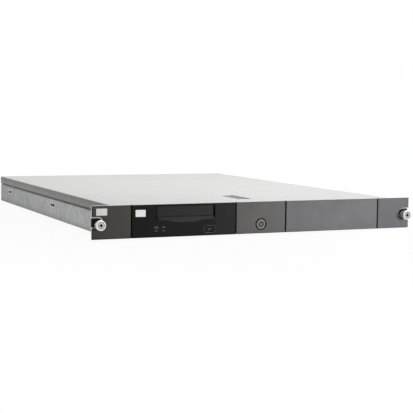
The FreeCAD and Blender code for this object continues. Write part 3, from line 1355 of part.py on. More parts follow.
fan_screws = []
HEAD_Y = f"({REAR} + 2 * guard_wire_r)"
FAN_SCREW_Y = f"({REAR_IN} - fan_depth / 2)"
for x in fan_places:
    for dx, dz in fan_corners:
        spot_x, spot_z = f"{x} + {dx}", f"fan_z + {dz}"
        shank_length = f"{HEAD_Y} - {FAN_SCREW_Y} + small_head_t / 2"
        head = rod(spot_x, HEAD_Y, spot_z, "Y", "small_head_r", "small_head_t")
        shank = rod(spot_x, FAN_SCREW_Y, spot_z, "Y", "small_screw_r", shank_length)
        fan_screws.append(joined("FanScrew", "MultiFuse", [head, shank]))
joined("fan_screws", "Compound", fan_screws)


# Data ports: a slanted shell round a contact tongue, on a plate inside the rear panel
def data_port(name, x):
    """One rear data connector."""

    def shell(grow):
        """The slant-sided outline, grown or shrunk all round."""
        wide, narrow = f"(port_width / 2 + {grow})", f"(port_width / 2 - port_slant + {grow})"
        high = f"(port_height / 2 + {grow})"
        round_off = f"(port_slant + {grow})"
        return [
            (f"-{narrow}", f"-{high}", round_off),
            (narrow, f"-{high}", round_off),
            (wide, high, round_off),
            (f"-{wide}", high, round_off),
        ]

    port = Piece(name, x, "0", "port_z")
    port.pad("XZ", f"{REAR_IN} - port_body", "port_body + sheet + port_reach", shell("0"))
    port.pocket("XZ", f"{REAR} - port_wall", "port_reach + port_wall + 1", shell("(-port_wall)"))
    port.pad(
        "XZ", f"{REAR} - 2 * port_wall", "2 * port_wall + port_reach * 0.8",
        rect(
            "-port_width / 2 + 4 * port_wall", "-port_tongue / 2",
            "port_width / 2 - 4 * port_wall", "port_tongue / 2",
        ),
    )
    port.pad(
        "XZ", f"{REAR_IN} - port_plate_t", "port_plate_t",
        rect("-port_plate_x / 2", "-port_plate_z / 2", "port_plate_x / 2", "port_plate_z / 2", "bend"),
    )
    studs = [circle(f"{side} * jack_x", "0", "jack_stud_r + screw_clear") for side in ("-1", "1")]
    port.pocket("XZ", f"{REAR_IN} - 2 * port_plate_t", "3 * port_plate_t", *studs)


data_port("data_port_drive", port_places[0])
data_port("data_port_spare", port_places[1])

jacks = []
for x in port_places:
    for side in ("-1", "1"):
        spot = f"{x} + {side} * jack_x"
        onto_y = FreeCAD.Rotation(FreeCAD.Vector(1, 0, 0), -90)
        post = doc.addObject("Part::Prism", "JackPost")
        post.Polygon = 6
        post.Placement = FreeCAD.Placement(FreeCAD.Vector(), onto_y)
        bind(post, "Circumradius", "jack_r")
        bind(post, "Height", "jack_reach")
        place(post, spot, REAR, "port_z")
        stud_start, stud_length = f"{REAR_IN} - 3 * port_plate_t", "4 * port_plate_t + sheet"
        stud = rod(spot, stud_start, "port_z", "Y", "jack_stud_r", stud_length)
        solid = joined("Jack", "MultiFuse", [post, stud])
        bored = doc.addObject("Part::Cut", "BoredJack")
        bored.Base = solid
        bored.Tool = rod(spot, f"{REAR} + sheet", "port_z", "Y", "jack_bore_r", "jack_reach")
        jacks.append(bored)
joined("jack_posts", "Compound", jacks)

# Mains inlet with its three pins, and the closed power supply in front of it
inlet = Piece("power_inlet", "inlet_x", "0", "inlet_z")
inlet.pad(
    "XZ", REAR, "inlet_flange_t",
    rect(
        "-inlet_flange_x / 2", "-inlet_flange_z / 2",
        "inlet_flange_x / 2", "inlet_flange_z / 2", "bend",
    ),
)
inlet.pad(
    "XZ", f"{REAR} - inlet_body_y", "inlet_body_y + inlet_flange_t / 2",
    rect(
        "-inlet_body_x / 2", "-inlet_body_z / 2",
        "inlet_body_x / 2", "inlet_body_z / 2", "edge_round",
    ),
)
inlet.edges("Fillet", "edge_round", flat_at("Y", f"{REAR} + inlet_flange_t"))
WELL_X, WELL_Z = "(inlet_well_x / 2)", "(inlet_well_z / 2)"
WELL_BACK = f"({REAR} + inlet_flange_t - inlet_well_y)"
inlet.pocket(
    "XZ", WELL_BACK, "inlet_well_y + 1",
    [
        (f"-{WELL_X}", f"-{WELL_Z}", "edge_round"),
        (WELL_X, f"-{WELL_Z}", "edge_round"),
        (WELL_X, f"{WELL_Z} - inlet_corner"),
        (f"{WELL_X} - inlet_corner", WELL_Z),
        (f"-{WELL_X} + inlet_corner", WELL_Z),
        (f"-{WELL_X}", f"{WELL_Z} - inlet_corner"),
    ],
)
pins = []
pin_places = [("-blade_x", "-blade_z"), ("0", "blade_z"), ("blade_x", "-blade_z")]
for i, (dx, dz) in enumerate(pin_places):
    pin = Piece(f"InletPin{i}", f"inlet_x + {dx}", "0", f"inlet_z + {dz}")
    pin.pad(
        "XZ", WELL_BACK, "pin_length",
        rect("-pin_thin / 2", "-pin_wide / 2", "pin_thin / 2", "pin_wide / 2", "pin_thin / 5"),
    )
    pins.append(pin.body)
joined("inlet_pins", "Compound", pins)

SUPPLY_BACK = f"({REAR_IN} - supply_gap)"
SUPPLY_FRONT = f"({SUPPLY_BACK} - supply_length)"
supply = Piece("power_supply")
supply.pad(
    "XZ", SUPPLY_FRONT, "supply_length",
    rect("supply_x", "sheet", "supply_x + supply_width", "supply_high", "edge_round"),
)
air = supply.pocket(
    "XZ", f"{SUPPLY_FRONT} - 1", "sheet + 1",
    rect(
        "supply_x + supply_vent", "vent_low",
        "supply_x + supply_vent + vent_width", "vent_high", "vent_width / 2.2",
    ),
)
supply.row(air, "X", "vent_pitch", VENT_SLOTS)

# Internal data ribbons and leads
RIBBON_END = f"({REAR_IN} - port_body)"
PLUG_END = f"({HOUSE_BACK} + data_plug_reach)"
ribbon_rise = [
    (f"{RIBBON_END} - ribbon_straight - ribbon_climb", "ribbon_floor"),
    (f"{RIBBON_END} - ribbon_straight", "port_z"),
    (RIBBON_END, "port_z"),
]
ribbon_drop = [
    (PLUG_END, "data_plug_z"),
    (f"{PLUG_END} + ribbon_straight", "data_plug_z"),
    (f"{PLUG_END} + ribbon_straight + ribbon_climb", "ribbon_floor"),
]
shaped("data_ribbon", ribbon(port_places[0], ribbon_drop + ribbon_rise, "ribbon_bend"))
spare_start = [("spare_end", "ribbon_floor")]
shaped("spare_ribbon", ribbon(port_places[1], spare_start + ribbon_rise, "ribbon_bend"))
LEAD_IN = "(supply_x + lead_inset)"
lead(
    "drive_power_lead",
    [
        (PLUG_X, PLUG_END, "power_plug_z"),
        (PLUG_X, "lead_cross_y", "lead_z"),
        (LEAD_IN, "lead_cross_y", "lead_z"),
        (LEAD_IN, SUPPLY_FRONT, "lead_z"),
    ],
    "lead_bend", "lead_r",
)
WIRE_IN = "(supply_x + wire_supply)"
lead(
    "button_lead",
    [
        ("board_width / 2 - wire_inset", "board_y + board_t", "wire_z"),
        ("board_width / 2 - wire_inset", "wire_cross_y", "wire_z"),
        (WIRE_IN, "wire_cross_y", "wire_z"),
        (WIRE_IN, SUPPLY_FRONT, "wire_z"),
    ],
    "lead_bend", "wire_r",
)

doc.recompute()

NODES = [
    "chassis_tray", "rear_panel", "top_cover", "cover_screws", "latch_dish", "latch_lever",
    "latch_pin", "rack_ear_left", "rack_ear_right", "ear_bezel_left", "ear_bezel_right", "ear_screws",
    "notch_inserts", "screw_retainers", "thumb_knob_left", "thumb_knob_right",
    "thumb_screw_left", "thumb_screw_right", "thrust_washer_left", "thrust_washer_right",
    "screw_spring_left", "screw_spring_right", "centre_bezel", "power_button", "power_button_spring",
    "power_board", "push_switches", "bay_filler", "drive_bezel", "cartridge_door", "door_pin",
    "eject_button", "eject_spring", "drive_front_board", "lamp_windows", "drive_housing",
    "cartridge_carrier", "drive_bracket_left", "drive_bracket_right", "spare_brackets",
    "drive_screws", "drive_data_connector", "drive_power_connector",
    "fan_frame_left", "fan_frame_right", "fan_rotor_left", "fan_rotor_right", "fan_guards",
    "fan_screws", "data_port_drive", "data_port_spare", "jack_posts", "power_inlet",
    "inlet_pins", "power_supply", "data_ribbon", "spare_ribbon", "drive_power_lead", "button_lead",
]

for item in doc.Objects:
    if "Invalid" in item.State or "Error" in item.State:
        raise RuntimeError(f"{item.Name} did not build: {item.State}")

os.makedirs("parts", exist_ok=True)
for name in NODES:
    shape = doc.getObject(name).Shape
    if shape.isNull() or not shape.isValid():
        raise RuntimeError(f"{name} has no valid shape")
    shape.exportStep(f"parts/{name}.step")
print(len(NODES), "nodes written")
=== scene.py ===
# %% [markdown]
# Rack drive enclosure
#
# The real object is a flat steel case for a 19-inch rack, one unit high, with two drive bays in its front.
# The left bay holds a black tape drive, the right one is closed by a plain filler. Its shapes could all be
# modelled here by hand, but a CAD model already gives each piece its true size and place. So the lesson loads
# that model as a fixed frame, and then does what a finishing shop does: it cuts knurls, threads and recesses,
# winds the springs, fits the badge plates and gives every surface its coat.

import math

import bpy
import numpy as np
from mathutils import Matrix, Vector


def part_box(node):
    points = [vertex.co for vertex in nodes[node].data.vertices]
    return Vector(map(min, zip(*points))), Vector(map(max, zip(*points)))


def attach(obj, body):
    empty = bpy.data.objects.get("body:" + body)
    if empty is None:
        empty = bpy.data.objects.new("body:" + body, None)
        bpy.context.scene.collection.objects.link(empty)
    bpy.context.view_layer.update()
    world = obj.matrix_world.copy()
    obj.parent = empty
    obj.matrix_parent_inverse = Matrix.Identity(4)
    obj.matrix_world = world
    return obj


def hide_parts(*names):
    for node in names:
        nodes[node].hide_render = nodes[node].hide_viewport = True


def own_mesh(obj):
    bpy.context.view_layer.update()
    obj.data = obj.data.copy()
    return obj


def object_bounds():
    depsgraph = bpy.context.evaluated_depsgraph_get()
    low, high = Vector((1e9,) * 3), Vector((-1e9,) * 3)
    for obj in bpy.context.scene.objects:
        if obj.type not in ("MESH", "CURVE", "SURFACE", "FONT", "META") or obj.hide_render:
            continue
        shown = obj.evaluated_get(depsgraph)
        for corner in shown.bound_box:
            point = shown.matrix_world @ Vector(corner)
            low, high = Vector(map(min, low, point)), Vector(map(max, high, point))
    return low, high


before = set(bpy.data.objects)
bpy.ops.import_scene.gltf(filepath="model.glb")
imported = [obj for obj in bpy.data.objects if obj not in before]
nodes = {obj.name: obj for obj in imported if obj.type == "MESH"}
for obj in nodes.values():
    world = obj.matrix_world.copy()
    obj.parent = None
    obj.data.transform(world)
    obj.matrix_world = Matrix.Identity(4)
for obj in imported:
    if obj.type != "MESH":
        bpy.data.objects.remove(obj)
cad_box = [list(corner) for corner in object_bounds()]
MM = 0.001
scene = bpy.context.scene
print(len(nodes), "CAD pieces in a box from", np.round(cad_box[0], 4), "to", np.round(cad_box[1], 4))

# %% [markdown]
# The camera
#
# The photograph was taken from the left front with a long lens, a little above the lid, so the lid shows as a
# thin pale wedge. A camera could be aimed with a tracking constraint, but the exact angles were worked out
# from the corners of the case, so the three axes of the camera are written down directly: its back axis from
# azimuth and elevation, its right axis level with the floor, and both then rolled by less than a degree.

# %% Camera at the photograph's place
AZIMUTH, ELEVATION, ROLL = np.radians([-24.43, 5.23, 0.77])
CAMERA_PLACE = (-0.66316, -1.57724, 0.16766)
LENS, SENSOR_WIDTH = 92.43, 36.0
back = np.array([
    math.sin(AZIMUTH) * math.cos(ELEVATION),
    -math.cos(AZIMUTH) * math.cos(ELEVATION),
    math.sin(ELEVATION),
])
level = np.array([math.cos(AZIMUTH), math.sin(AZIMUTH), 0.0])
upright = np.cross(back, level)
right = level * math.cos(ROLL) + upright * math.sin(ROLL)
up = upright * math.cos(ROLL) - level * math.sin(ROLL)
camera_frame = np.eye(4)
camera_frame[:3] = np.column_stack([right, up, back, CAMERA_PLACE])
camera = bpy.data.objects.new("photo_camera", bpy.data.cameras.new("photo_camera"))
camera.data.lens = LENS
camera.data.sensor_width = SENSOR_WIDTH
camera.matrix_world = Matrix(camera_frame.tolist())
scene.collection.objects.link(camera)
scene.camera = camera
scene.view_settings.view_transform = "Standard"
print("camera looks along", np.round(-back, 3))

# %% [markdown]
# Node steps
#
# A finish in Blender is a small graph of shader nodes. It could be clicked together by hand, but here one
# helper adds a node, sets its options and feeds its inputs. The same helper serves the world, the floor and
# every material, so the graphs below read as short lists of steps.


# %% One step of a node graph
def step(tree, kind, feeds=None, **options):
    """Add one node, set its options, and feed its inputs with fixed values or other nodes' outputs."""
    node = tree.nodes.new(kind)
    for option, value in options.items():
        setattr(node, option, value)
    for socket, feed in (feeds or {}).items():
        if isinstance(feed, bpy.types.NodeSocket):
            tree.links.new(feed, node.inputs[socket])
        else:
            node.inputs[socket].default_value = feed
    return node


def seen_directly(tree):
    """1 for rays from the camera, a mirror or a clear piece, 0 for light that only brightens a surface."""
    path = step(tree, "ShaderNodeLightPath").outputs
    seen = path["Is Camera Ray"]
    for other in ("Is Glossy Ray", "Is Transmission Ray"):
        seen = step(tree, "ShaderNodeMath", {0: seen, 1: path[other]}, operation="MAXIMUM").outputs[0]
    return seen


print("node helpers ready")

# %% [markdown]
# Studio
#
# The photograph has a plain white ground and soft light that is strongest at the right front: the same grey
# plastic looks nearly black on the left ear and mid grey on the right one. A bright world alone would light
# both alike. So the world only fills the shadows, a softbox with a honeycomb grid is aimed at the right half
# of the panel, where its light falls off quickly towards the left, and a wide one hangs over the lid. The
# gridded box is flat and stands as low as the panel, which keeps it off the lid. It is strong along its axis,
# and seen from behind its mirror image would burn out the lid, so mirror rays pass it by. Rays that look
# straight at the world or the floor see white; the floor still darkens a little where the case shades it.

# %% World
WHITE = (1.0, 1.0, 1.0, 1.0)
FILL_LEVEL, FILL_COLOUR = 0.22, (1.0, 0.974, 0.92, 1.0)
world = bpy.data.worlds.new("white_studio")
scene.world = world
world.use_nodes = True
tree = world.node_tree
tree.nodes.clear()
white = step(tree, "ShaderNodeBackground", {"Color": WHITE, "Strength": 1.0}).outputs[0]
fill = step(tree, "ShaderNodeBackground", {"Color": FILL_COLOUR, "Strength": FILL_LEVEL}).outputs[0]
either = step(tree, "ShaderNodeMixShader", {0: seen_directly(tree), 1: fill, 2: white})
step(tree, "ShaderNodeOutputWorld", {"Surface": either.outputs[0]})
print("world fill", FILL_LEVEL)

# %% Floor
FLOOR_HALF, FLOOR_GAP = 6.0, 0.1 * MM
PAPER_TONE = (0.64, 0.64, 0.64, 1.0)
NEAR, FAR, NEAR_WHITENESS = 0.30, 0.75, 0.93
floor_mesh = bpy.data.meshes.new("studio_floor")
corners = np.array([(-1, -1, 0), (1, -1, 0), (1, 1, 0), (-1, 1, 0)]) * FLOOR_HALF
corners[:, 2] = cad_box[0][2] - FLOOR_GAP
floor_mesh.from_pydata(corners.tolist(), [], [(0, 1, 2, 3)])
floor = bpy.data.objects.new("studio_floor", floor_mesh)
scene.collection.objects.link(floor)
floor_finish = bpy.data.materials.new("pale_floor")
floor_finish.use_nodes = True
tree = floor_finish.node_tree
tree.nodes.clear()
place = step(tree, "ShaderNodeTexCoord").outputs["Object"]
distance = step(tree, "ShaderNodeVectorMath", {0: place}, operation="LENGTH").outputs["Value"]
whiteness = step(tree, "ShaderNodeMapRange", {
    "Value": distance, "From Min": NEAR, "From Max": FAR, "To Min": NEAR_WHITENESS, "To Max": 1.0,
}).outputs[0]
share = step(tree, "ShaderNodeMath", {0: whiteness, 1: seen_directly(tree)}, operation="MULTIPLY").outputs[0]
paper = step(tree, "ShaderNodeBsdfDiffuse", {"Color": PAPER_TONE}).outputs[0]
glow = step(tree, "ShaderNodeEmission", {"Color": WHITE, "Strength": 1.0}).outputs[0]
both = step(tree, "ShaderNodeMixShader", {0: share, 1: paper, 2: glow})
step(tree, "ShaderNodeOutputMaterial", {"Surface": both.outputs[0]})
floor.data.materials.append(floor_finish)
print("floor", 2 * FLOOR_HALF, "m wide")


# %% Softboxes
def softbox(name, place, aim, size, power, colour, spread=180.0, mirrored=True):
    """An area lamp at place that faces aim; width and height in metres, power in watts, spread in degrees."""
    lamp = bpy.data.lights.new(name, "AREA")
    lamp.shape = "RECTANGLE"
    lamp.size, lamp.size_y = size
    lamp.energy = power
    lamp.color = colour
    lamp.spread = math.radians(spread)
    holder = bpy.data.objects.new(name, lamp)
    facing = (Vector(aim) - Vector(place)).to_track_quat("-Z", "Y").to_matrix().to_4x4()
    holder.matrix_world = Matrix.Translation(place) @ facing
    holder.visible_camera = False
    holder.visible_glossy = mirrored
    scene.collection.objects.link(holder)
    print(name, "of", power, "W")


softbox(
    "key_softbox", place=(0.45, -0.92, 0.09), aim=(0.16, -0.30, 0.02), size=(0.45, 0.12),
    power=1.08, colour=(0.96, 0.967, 1.03), spread=50.0, mirrored=False,
)
softbox(
    "lid_softbox", place=(0.24, 0.03, 1.15), aim=(0.08, 0.0, 0.04), size=(0.8, 0.8),
    power=11.6, colour=(1.0, 1.0, 1.0),
)

# %% [markdown]
# Finishes
#
# A coat on real metal or plastic is never one flat colour. A photograph could be wrapped round the piece, but
# a pattern worked out from the piece's own coordinates stays sharp at any distance and needs no picture. Each
# finish below mixes two tones by a soft cloud, lets the roughness wander, and raises a fine bump; what
# differs is the size of the clouds, how they are drawn out, and whether the surface is a metal.

# %% The finish helper
COATS = {}


class Finish:
    """A node material whose steps read the piece's own coordinates; sizes are given in millimetres."""

    def __init__(self, name, metal=0.0, specular=0.5):
        self.material = bpy.data.materials.new(name)
        self.material.use_nodes = True
        self.tree = self.material.node_tree
        self.shader = self.tree.nodes["Principled BSDF"].inputs
        self.shader["Metallic"].default_value = metal
        self.shader["Specular IOR Level"].default_value = specular
        self.place = self.step("ShaderNodeTexCoord").outputs["Object"]
        COATS[name] = self

    def step(self, kind, feeds=None, **options):
        """Add one node to this finish."""
        return step(self.tree, kind, feeds, **options)

    def maths(self, operation, first, second):
        """One sum, product or other rule on two values."""
        return self.step("ShaderNodeMath", {0: first, 1: second}, operation=operation).outputs[0]

    def span(self, value, low, high, start=0.3, end=0.7):
        """Carry a value between start and end over to low and high, clamped."""
        feeds = {"Value": value, "From Min": start, "From Max": end, "To Min": low, "To Max": high}
        return self.step("ShaderNodeMapRange", feeds).outputs[0]

    def counted(self, size, stretch=(1, 1, 1)):
        """Coordinates counted in blobs of the given size, drawn out along each axis by stretch."""
        scale = [1 / (size * MM * longer) for longer in stretch]
        return self.step("ShaderNodeMapping", {"Vector": self.place, "Scale": scale}).outputs[0]

    def cloud(self, size, stretch=(1, 1, 1), detail=3.0):
        """Soft noise, mostly between 0.3 and 0.7."""
        feeds = {"Vector": self.counted(size, stretch), "Scale": 1.0, "Detail": detail}
        return self.step("ShaderNodeTexNoise", feeds).outputs[0]

    def crystals(self, size, stretch=(1, 1, 1)):
        """One random value from 0 to 1 for each cell of a Voronoi pattern."""
        cells = self.step("ShaderNodeTexVoronoi", {"Vector": self.counted(size, stretch), "Scale": 1.0})
        return self.step("ShaderNodeSeparateColor", {0: cells.outputs["Color"]}).outputs[0]

    def along(self, axis):
        """One of the piece's own coordinates, in metres."""
        return self.step("ShaderNodeSeparateXYZ", {0: self.place}).outputs[axis]

    def apart(self, value, size):
        """How far a value in metres lies from a size in millimetres, on either side."""
        return self.maths("ABSOLUTE", self.maths("SUBTRACT", value, size * MM), 0.0)

    def from_axis(self, x, z):
        """Distance in metres from the line along Y through a place in millimetres."""
        feeds = {"Vector": self.place, "Location": (-x * MM, 0.0, -z * MM), "Scale": (1.0, 0.0, 1.0)}
        centred = self.step("ShaderNodeMapping", feeds).outputs[0]
        return self.step("ShaderNodeVectorMath", {0: centred}, operation="LENGTH").outputs["Value"]

    def past(self, value, size, soft):
        """0 where a value in metres is below a size in millimetres, rising to 1 over a soft border."""
        return self.span(value, 0.0, 1.0, size * MM, (size + soft) * MM)

    def band(self, value, low, high, soft):
        """1 where a value in metres lies between two sizes in millimetres, 0 beyond a soft border."""
        rise = self.past(value, low - soft, soft)
        fall = self.span(value, 1.0, 0.0, high * MM, (high + soft) * MM)
        return self.all_of(rise, fall)

    def all_of(self, first, *others):
        """The product of several masks: 1 only where every one of them is 1."""
        for other in others:
            first = self.maths("MULTIPLY", first, other)
        return first

    def tones(self, share, dark, pale):
        """A colour between dark and pale."""
        return self.step("ShaderNodeMix", {0: share, 6: dark, 7: pale}, data_type="RGBA").outputs[2]

    def times(self, colour, factor):
        """A colour multiplied by a value or by another colour."""
        return self.step(
            "ShaderNodeMix", {0: 1.0, 6: colour, 7: factor}, data_type="RGBA", blend_type="MULTIPLY",
        ).outputs[2]

    def shaded(self, colour, mask, inside=1.0, outside=1.0):
        """A colour times one factor where a mask is 1 and another where it is 0."""
        return self.times(colour, self.span(mask, outside, inside, 0.0, 1.0))

    def source(self, socket):
        """What feeds one socket of the surface so far."""
        return self.shader[socket].links[0].from_socket

    def feed(self, socket, value):
        """Feed one socket of the surface."""
        self.tree.links.new(value, self.shader[socket])

    def coat(self, colour, rough):
        """Feed the colour and the roughness of the surface."""
        self.feed("Base Color", colour)
        self.feed("Roughness", rough)

    def raised(self, height, depth):
        """Bump the surface by a height from 0 to 1 times depth."""
        bump = self.step("ShaderNodeBump", {"Height": height, "Distance": depth * MM, "Strength": 1.0})
        self.feed("Normal", bump.outputs[0])


def tone(level, tint=(1.0, 1.0, 1.0)):
    """A colour of one grey level, in linear light, leaned towards a tint."""
    return tuple(level * part for part in tint) + (1.0,)


print("finish helper ready")

# %% [markdown]
# Moulded plastics
#
# The ears, the centre and the filler are plastic mouldings, spark-eroded in the tool so that they look like
# fine sand and show no fingerprints. The drive front is nearly black and a little smoother, and its door has
# a satin skin. Real texture could be sculpted, but a pebble is smaller than half a millimetre, so a bump does
# it. The gloss is kept low, because a white room would otherwise turn black plastic grey.
#
# Light and shade are painted into the colour in places that a formula can name. A painted highlight makes the
# sloping ledge under the door lighter than the rest of the black front, and the plain strip at its right end
# as well. The rim of the power button carries a painted highlight, and painted shade darkens the narrow ring
# round it, the gaps beside the door and the filler and the rounded edges along the top and the foot of the
# panel.
# Painted warm light tints the left end of the grey plastic and painted cool light its right end. A painter
# would mask those places by hand; here a band between two distances from an axis or a face is the mask.
#
# The top face of the panel is left smooth by the tool. Seen almost edge-on it mirrors the white room and
# draws a bright line along the panel, while from above it is as dark as the rest. A pale stripe would be
# bright from everywhere, so this is a clear gloss on the same dark plastic, and the angle of view does the
# rest.

# %% Painted light and shade, and a clear gloss, on the grey mouldings
PANEL_FOOT, PANEL_TOP = (corner.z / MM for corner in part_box("ear_bezel_right"))
PANEL_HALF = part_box("ear_bezel_right")[1].x / MM
FILLER_LOW, FILLER_HIGH = (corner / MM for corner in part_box("bay_filler"))
BUTTON_Z, BUTTON_R, BUTTON_HOLE_R = 12.9, 6.9, 8.2
# Tints of painted warm light at the left end of the panel and painted cool light at the right end
WARM_LIGHT_TINT, COOL_LIGHT_TINT = (1.0, 0.985, 0.82, 1.0), (1.0, 0.985, 1.03, 1.0)
CLEAR_GLOSS, CLEAR_ROUGHNESS = 0.8, 0.05


def painted_edge_shade(finish, colour):
    """Painted shade along the rounded upper and lower edges of the panel, by the height alone."""
    middle = finish.band(finish.along("Z"), PANEL_FOOT + 1.0, PANEL_TOP - 1.4, 0.5)
    return finish.shaded(colour, middle, outside=0.72)


def polished_top(finish):
    """Clear gloss on the panel's top face and the upper half of its rounded edge, by the height alone."""
    top = finish.past(finish.along("Z"), PANEL_TOP - 0.7, 0.4)
    dull = finish.shader["Specular IOR Level"].default_value
    finish.feed("Specular IOR Level", finish.span(top, dull, CLEAR_GLOSS, 0.0, 1.0))
    finish.feed("Coat Weight", top)
    finish.shader["Coat Roughness"].default_value = CLEAR_ROUGHNESS


def ring_shade(finish, colour):
    """Painted shade between the power button and its hole, by the distance from the button's axis."""
    gap = finish.band(finish.from_axis(0.0, BUTTON_Z), BUTTON_R - 0.2, BUTTON_HOLE_R + 0.05, 0.15)
    return finish.shaded(colour, gap, inside=0.22)


def light_tinted_panel(finish, colour):
    """Painted warm light at the left end, cool light at the right, painted shade at the edges and round the
    button.
    """
    share = finish.span(finish.along("X"), 0.0, 1.0, -PANEL_HALF * MM, PANEL_HALF * MM)
    tinted_by_light = finish.times(colour, finish.tones(share, WARM_LIGHT_TINT, COOL_LIGHT_TINT))
    return ring_shade(finish, painted_edge_shade(finish, tinted_by_light))


def button_rim_highlight(finish, colour):
    """A painted highlight on the button's rim, its middle a little darker, and painted shade in the gap round
    it.
    """
    rim = finish.band(finish.from_axis(0.0, BUTTON_Z), 4.9, 6.5, 0.7)
    return ring_shade(finish, finish.shaded(colour, rim, inside=1.28, outside=0.90))


def shaded_edges(finish, colour):
    """Painted shade along both upright edges of the filler, which round off into the gaps beside it."""
    middle = finish.band(finish.along("X"), FILLER_LOW.x + 0.9, FILLER_HIGH.x - 0.9, 0.3)
    return painted_edge_shade(finish, finish.shaded(colour, middle, outside=0.45))


print("panel", round(2 * PANEL_HALF, 2), "mm wide, from", round(PANEL_FOOT, 2), "to", round(PANEL_TOP, 2))

# %% Painted light and shade on the drive front
DRIVE_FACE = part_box("drive_bezel")[0].y / MM
DOOR_LOW, DOOR_HIGH = (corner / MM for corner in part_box("cartridge_door"))
LEDGE_DEEP, SCOOP_LOW = 3.2, 19.0


def ledge_highlight(finish, colour):
    """Painted highlight on the ledge under the door and the strip right of it, painted shade by the door's
    left end.
    """
    across, deep, high = (finish.along(axis) for axis in "XYZ")
    ledge = finish.all_of(
        finish.band(deep, DRIVE_FACE + 0.12, DRIVE_FACE + LEDGE_DEEP + 0.1, 0.1),
        finish.band(high, SCOOP_LOW - 0.5, DOOR_LOW.z - 0.5, 0.1),
        finish.band(across, DOOR_LOW.x + 3.0, DOOR_HIGH.x + 0.5, 1.2),
    )
    strip = finish.past(across, DOOR_HIGH.x + 1.2, 0.8)
    # Painted highlights on the ledge and the strip, then painted shade in the gap by the door's left end
    with_highlights = finish.shaded(finish.shaded(colour, ledge, inside=3.4), strip, inside=1.55)
    gap = finish.all_of(
        finish.band(high, DOOR_LOW.z - 2.8, DOOR_HIGH.z - 1.0, 0.5),
        finish.band(across, DOOR_LOW.x - 0.6, DOOR_LOW.x + 1.6, 0.9),
    )
    return painted_edge_shade(finish, finish.shaded(with_highlights, gap, inside=0.2))


def shaded_ends(finish, colour):
    """Painted shade at both ends of the door, where it turns into the gap beside it."""
    middle = finish.band(finish.along("X"), DOOR_LOW.x + 3.2, DOOR_HIGH.x - 0.5, 1.3)
    return finish.shaded(colour, middle, outside=0.15)


print("door from", np.round(DOOR_LOW, 2), "to", np.round(DOOR_HIGH, 2), "mm")

# %% Mouldings
PLAIN, COOL, WARM = (1.0, 1.0, 1.0), (1.0, 0.985, 0.98), (1.0, 0.985, 0.94)


def moulded(slot, level, tint, specular, rough, pebble, depth, light_and_marks=None):
    """Sanded plastic: a broad faint cloud in the tone, pebbles in the bump, roughness between two values."""
    finish = Finish(slot, specular=specular)
    pebbles = finish.cloud(pebble, detail=2.0)
    shade = finish.maths("ADD", finish.cloud(22.0, detail=4.0), finish.span(pebbles, -0.30, 0.30))
    share = finish.span(shade, 0.0, 1.0, 0.1, 0.9)
    colour = finish.tones(share, tone(level * 0.86, tint), tone(level * 1.14, tint))
    # Painted light and shade, where a row gives them, go into the colour
    finish.coat(light_and_marks(finish, colour) if light_and_marks else colour, finish.span(finish.cloud(4.0), *rough))
    finish.raised(pebbles, depth)


# Slot, grey level, tint, gloss, roughness, width and depth of the pebbles in millimetres, painted light and
# shade
for row in (
    ("grey_moulding", 0.078, PLAIN, 0.10, (0.50, 0.62), 0.55, 0.030, light_tinted_panel),
    ("filler_moulding", 0.0885, COOL, 0.10, (0.50, 0.62), 0.55, 0.030, shaded_edges),
    ("button_grey", 0.100, WARM, 0.20, (0.42, 0.52), 0.35, 0.015, button_rim_highlight),
    ("drive_black", 0.0105, PLAIN, 0.10, (0.46, 0.60), 0.45, 0.025, ledge_highlight),
    ("door_black", 0.021, PLAIN, 0.14, (0.34, 0.42), 0.30, 0.010, shaded_ends),
    ("eject_black", 0.010, PLAIN, 0.14, (0.36, 0.46), 0.30, 0.010),
    ("insert_black", 0.012, PLAIN, 0.12, (0.46, 0.58), 0.45, 0.020),
    ("switch_black", 0.018, PLAIN, 0.40, (0.30, 0.45), 0.40, 0.010),
    ("connector_black", 0.016, PLAIN, 0.40, (0.38, 0.50), 0.40, 0.015),
    ("fan_black", 0.065, PLAIN, 0.40, (0.34, 0.46), 0.50, 0.015),
    ("inlet_black", 0.016, PLAIN, 0.35, (0.34, 0.48), 0.45, 0.015),
    ("lead_black", 0.018, PLAIN, 0.35, (0.42, 0.55), 0.60, 0.020),
    ("latch_grey", 0.155, PLAIN, 0.30, (0.42, 0.54), 0.40, 0.015),
):
    moulded(*row)
for slot in ("grey_moulding", "filler_moulding", "drive_black"):
    polished_top(COATS[slot])
print("moulded:", ", ".join(COATS))

# %% [markdown]
# Zinc-coated sheet
#
# The case, the rear panel and the inner brackets are hot-dip zinc sheet. Its skin freezes in crystals, which
# show as patches that catch the light differently, and rolling leaves soft streaks across the folded side.
# The patches are Voronoi cells with one random value each, the streaks are noise drawn out along one axis,
# and the two are added before they pick the tone.
#
# The folded side is not even from end to end either. It is darker towards the back and along its lower edge,
# and painted shade lies as a dark line in the open seam under the lid's flange. These three come from the
# place
# alone: one ramp along the case, one up from its foot, and one band as high as the seam.

# %% Galvanised sheet
FLANGE_EDGE, LID_TOP = (corner.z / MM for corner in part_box("top_cover"))
WALL_FRONT, WALL_BACK, WALL_FOOT = -290.0, 300.0, 9.0
SEAM_WALL, SEAM_DEEP = 211.5, 2.35
ZINC = (0.985, 0.995, 1.0)


def wall_with_seam_shade(finish, colour):
    """Darker to the back and at the foot, and painted shade in the seam under the flange."""
    high = finish.along("Z")
    length = finish.span(finish.along("Y"), 1.14, 0.76, WALL_FRONT * MM, WALL_BACK * MM)
    foot = finish.span(high, 0.60, 1.0, 0.0, WALL_FOOT * MM)
    # Painted shade in the seam under the flange
    seam = finish.all_of(
        finish.band(high, FLANGE_EDGE - SEAM_DEEP, FLANGE_EDGE + 0.4, 0.3),
        finish.past(finish.apart(finish.along("X"), 0.0), SEAM_WALL, 0.4),
    )
    return finish.shaded(finish.times(finish.times(colour, length), foot), seam, inside=0.12)


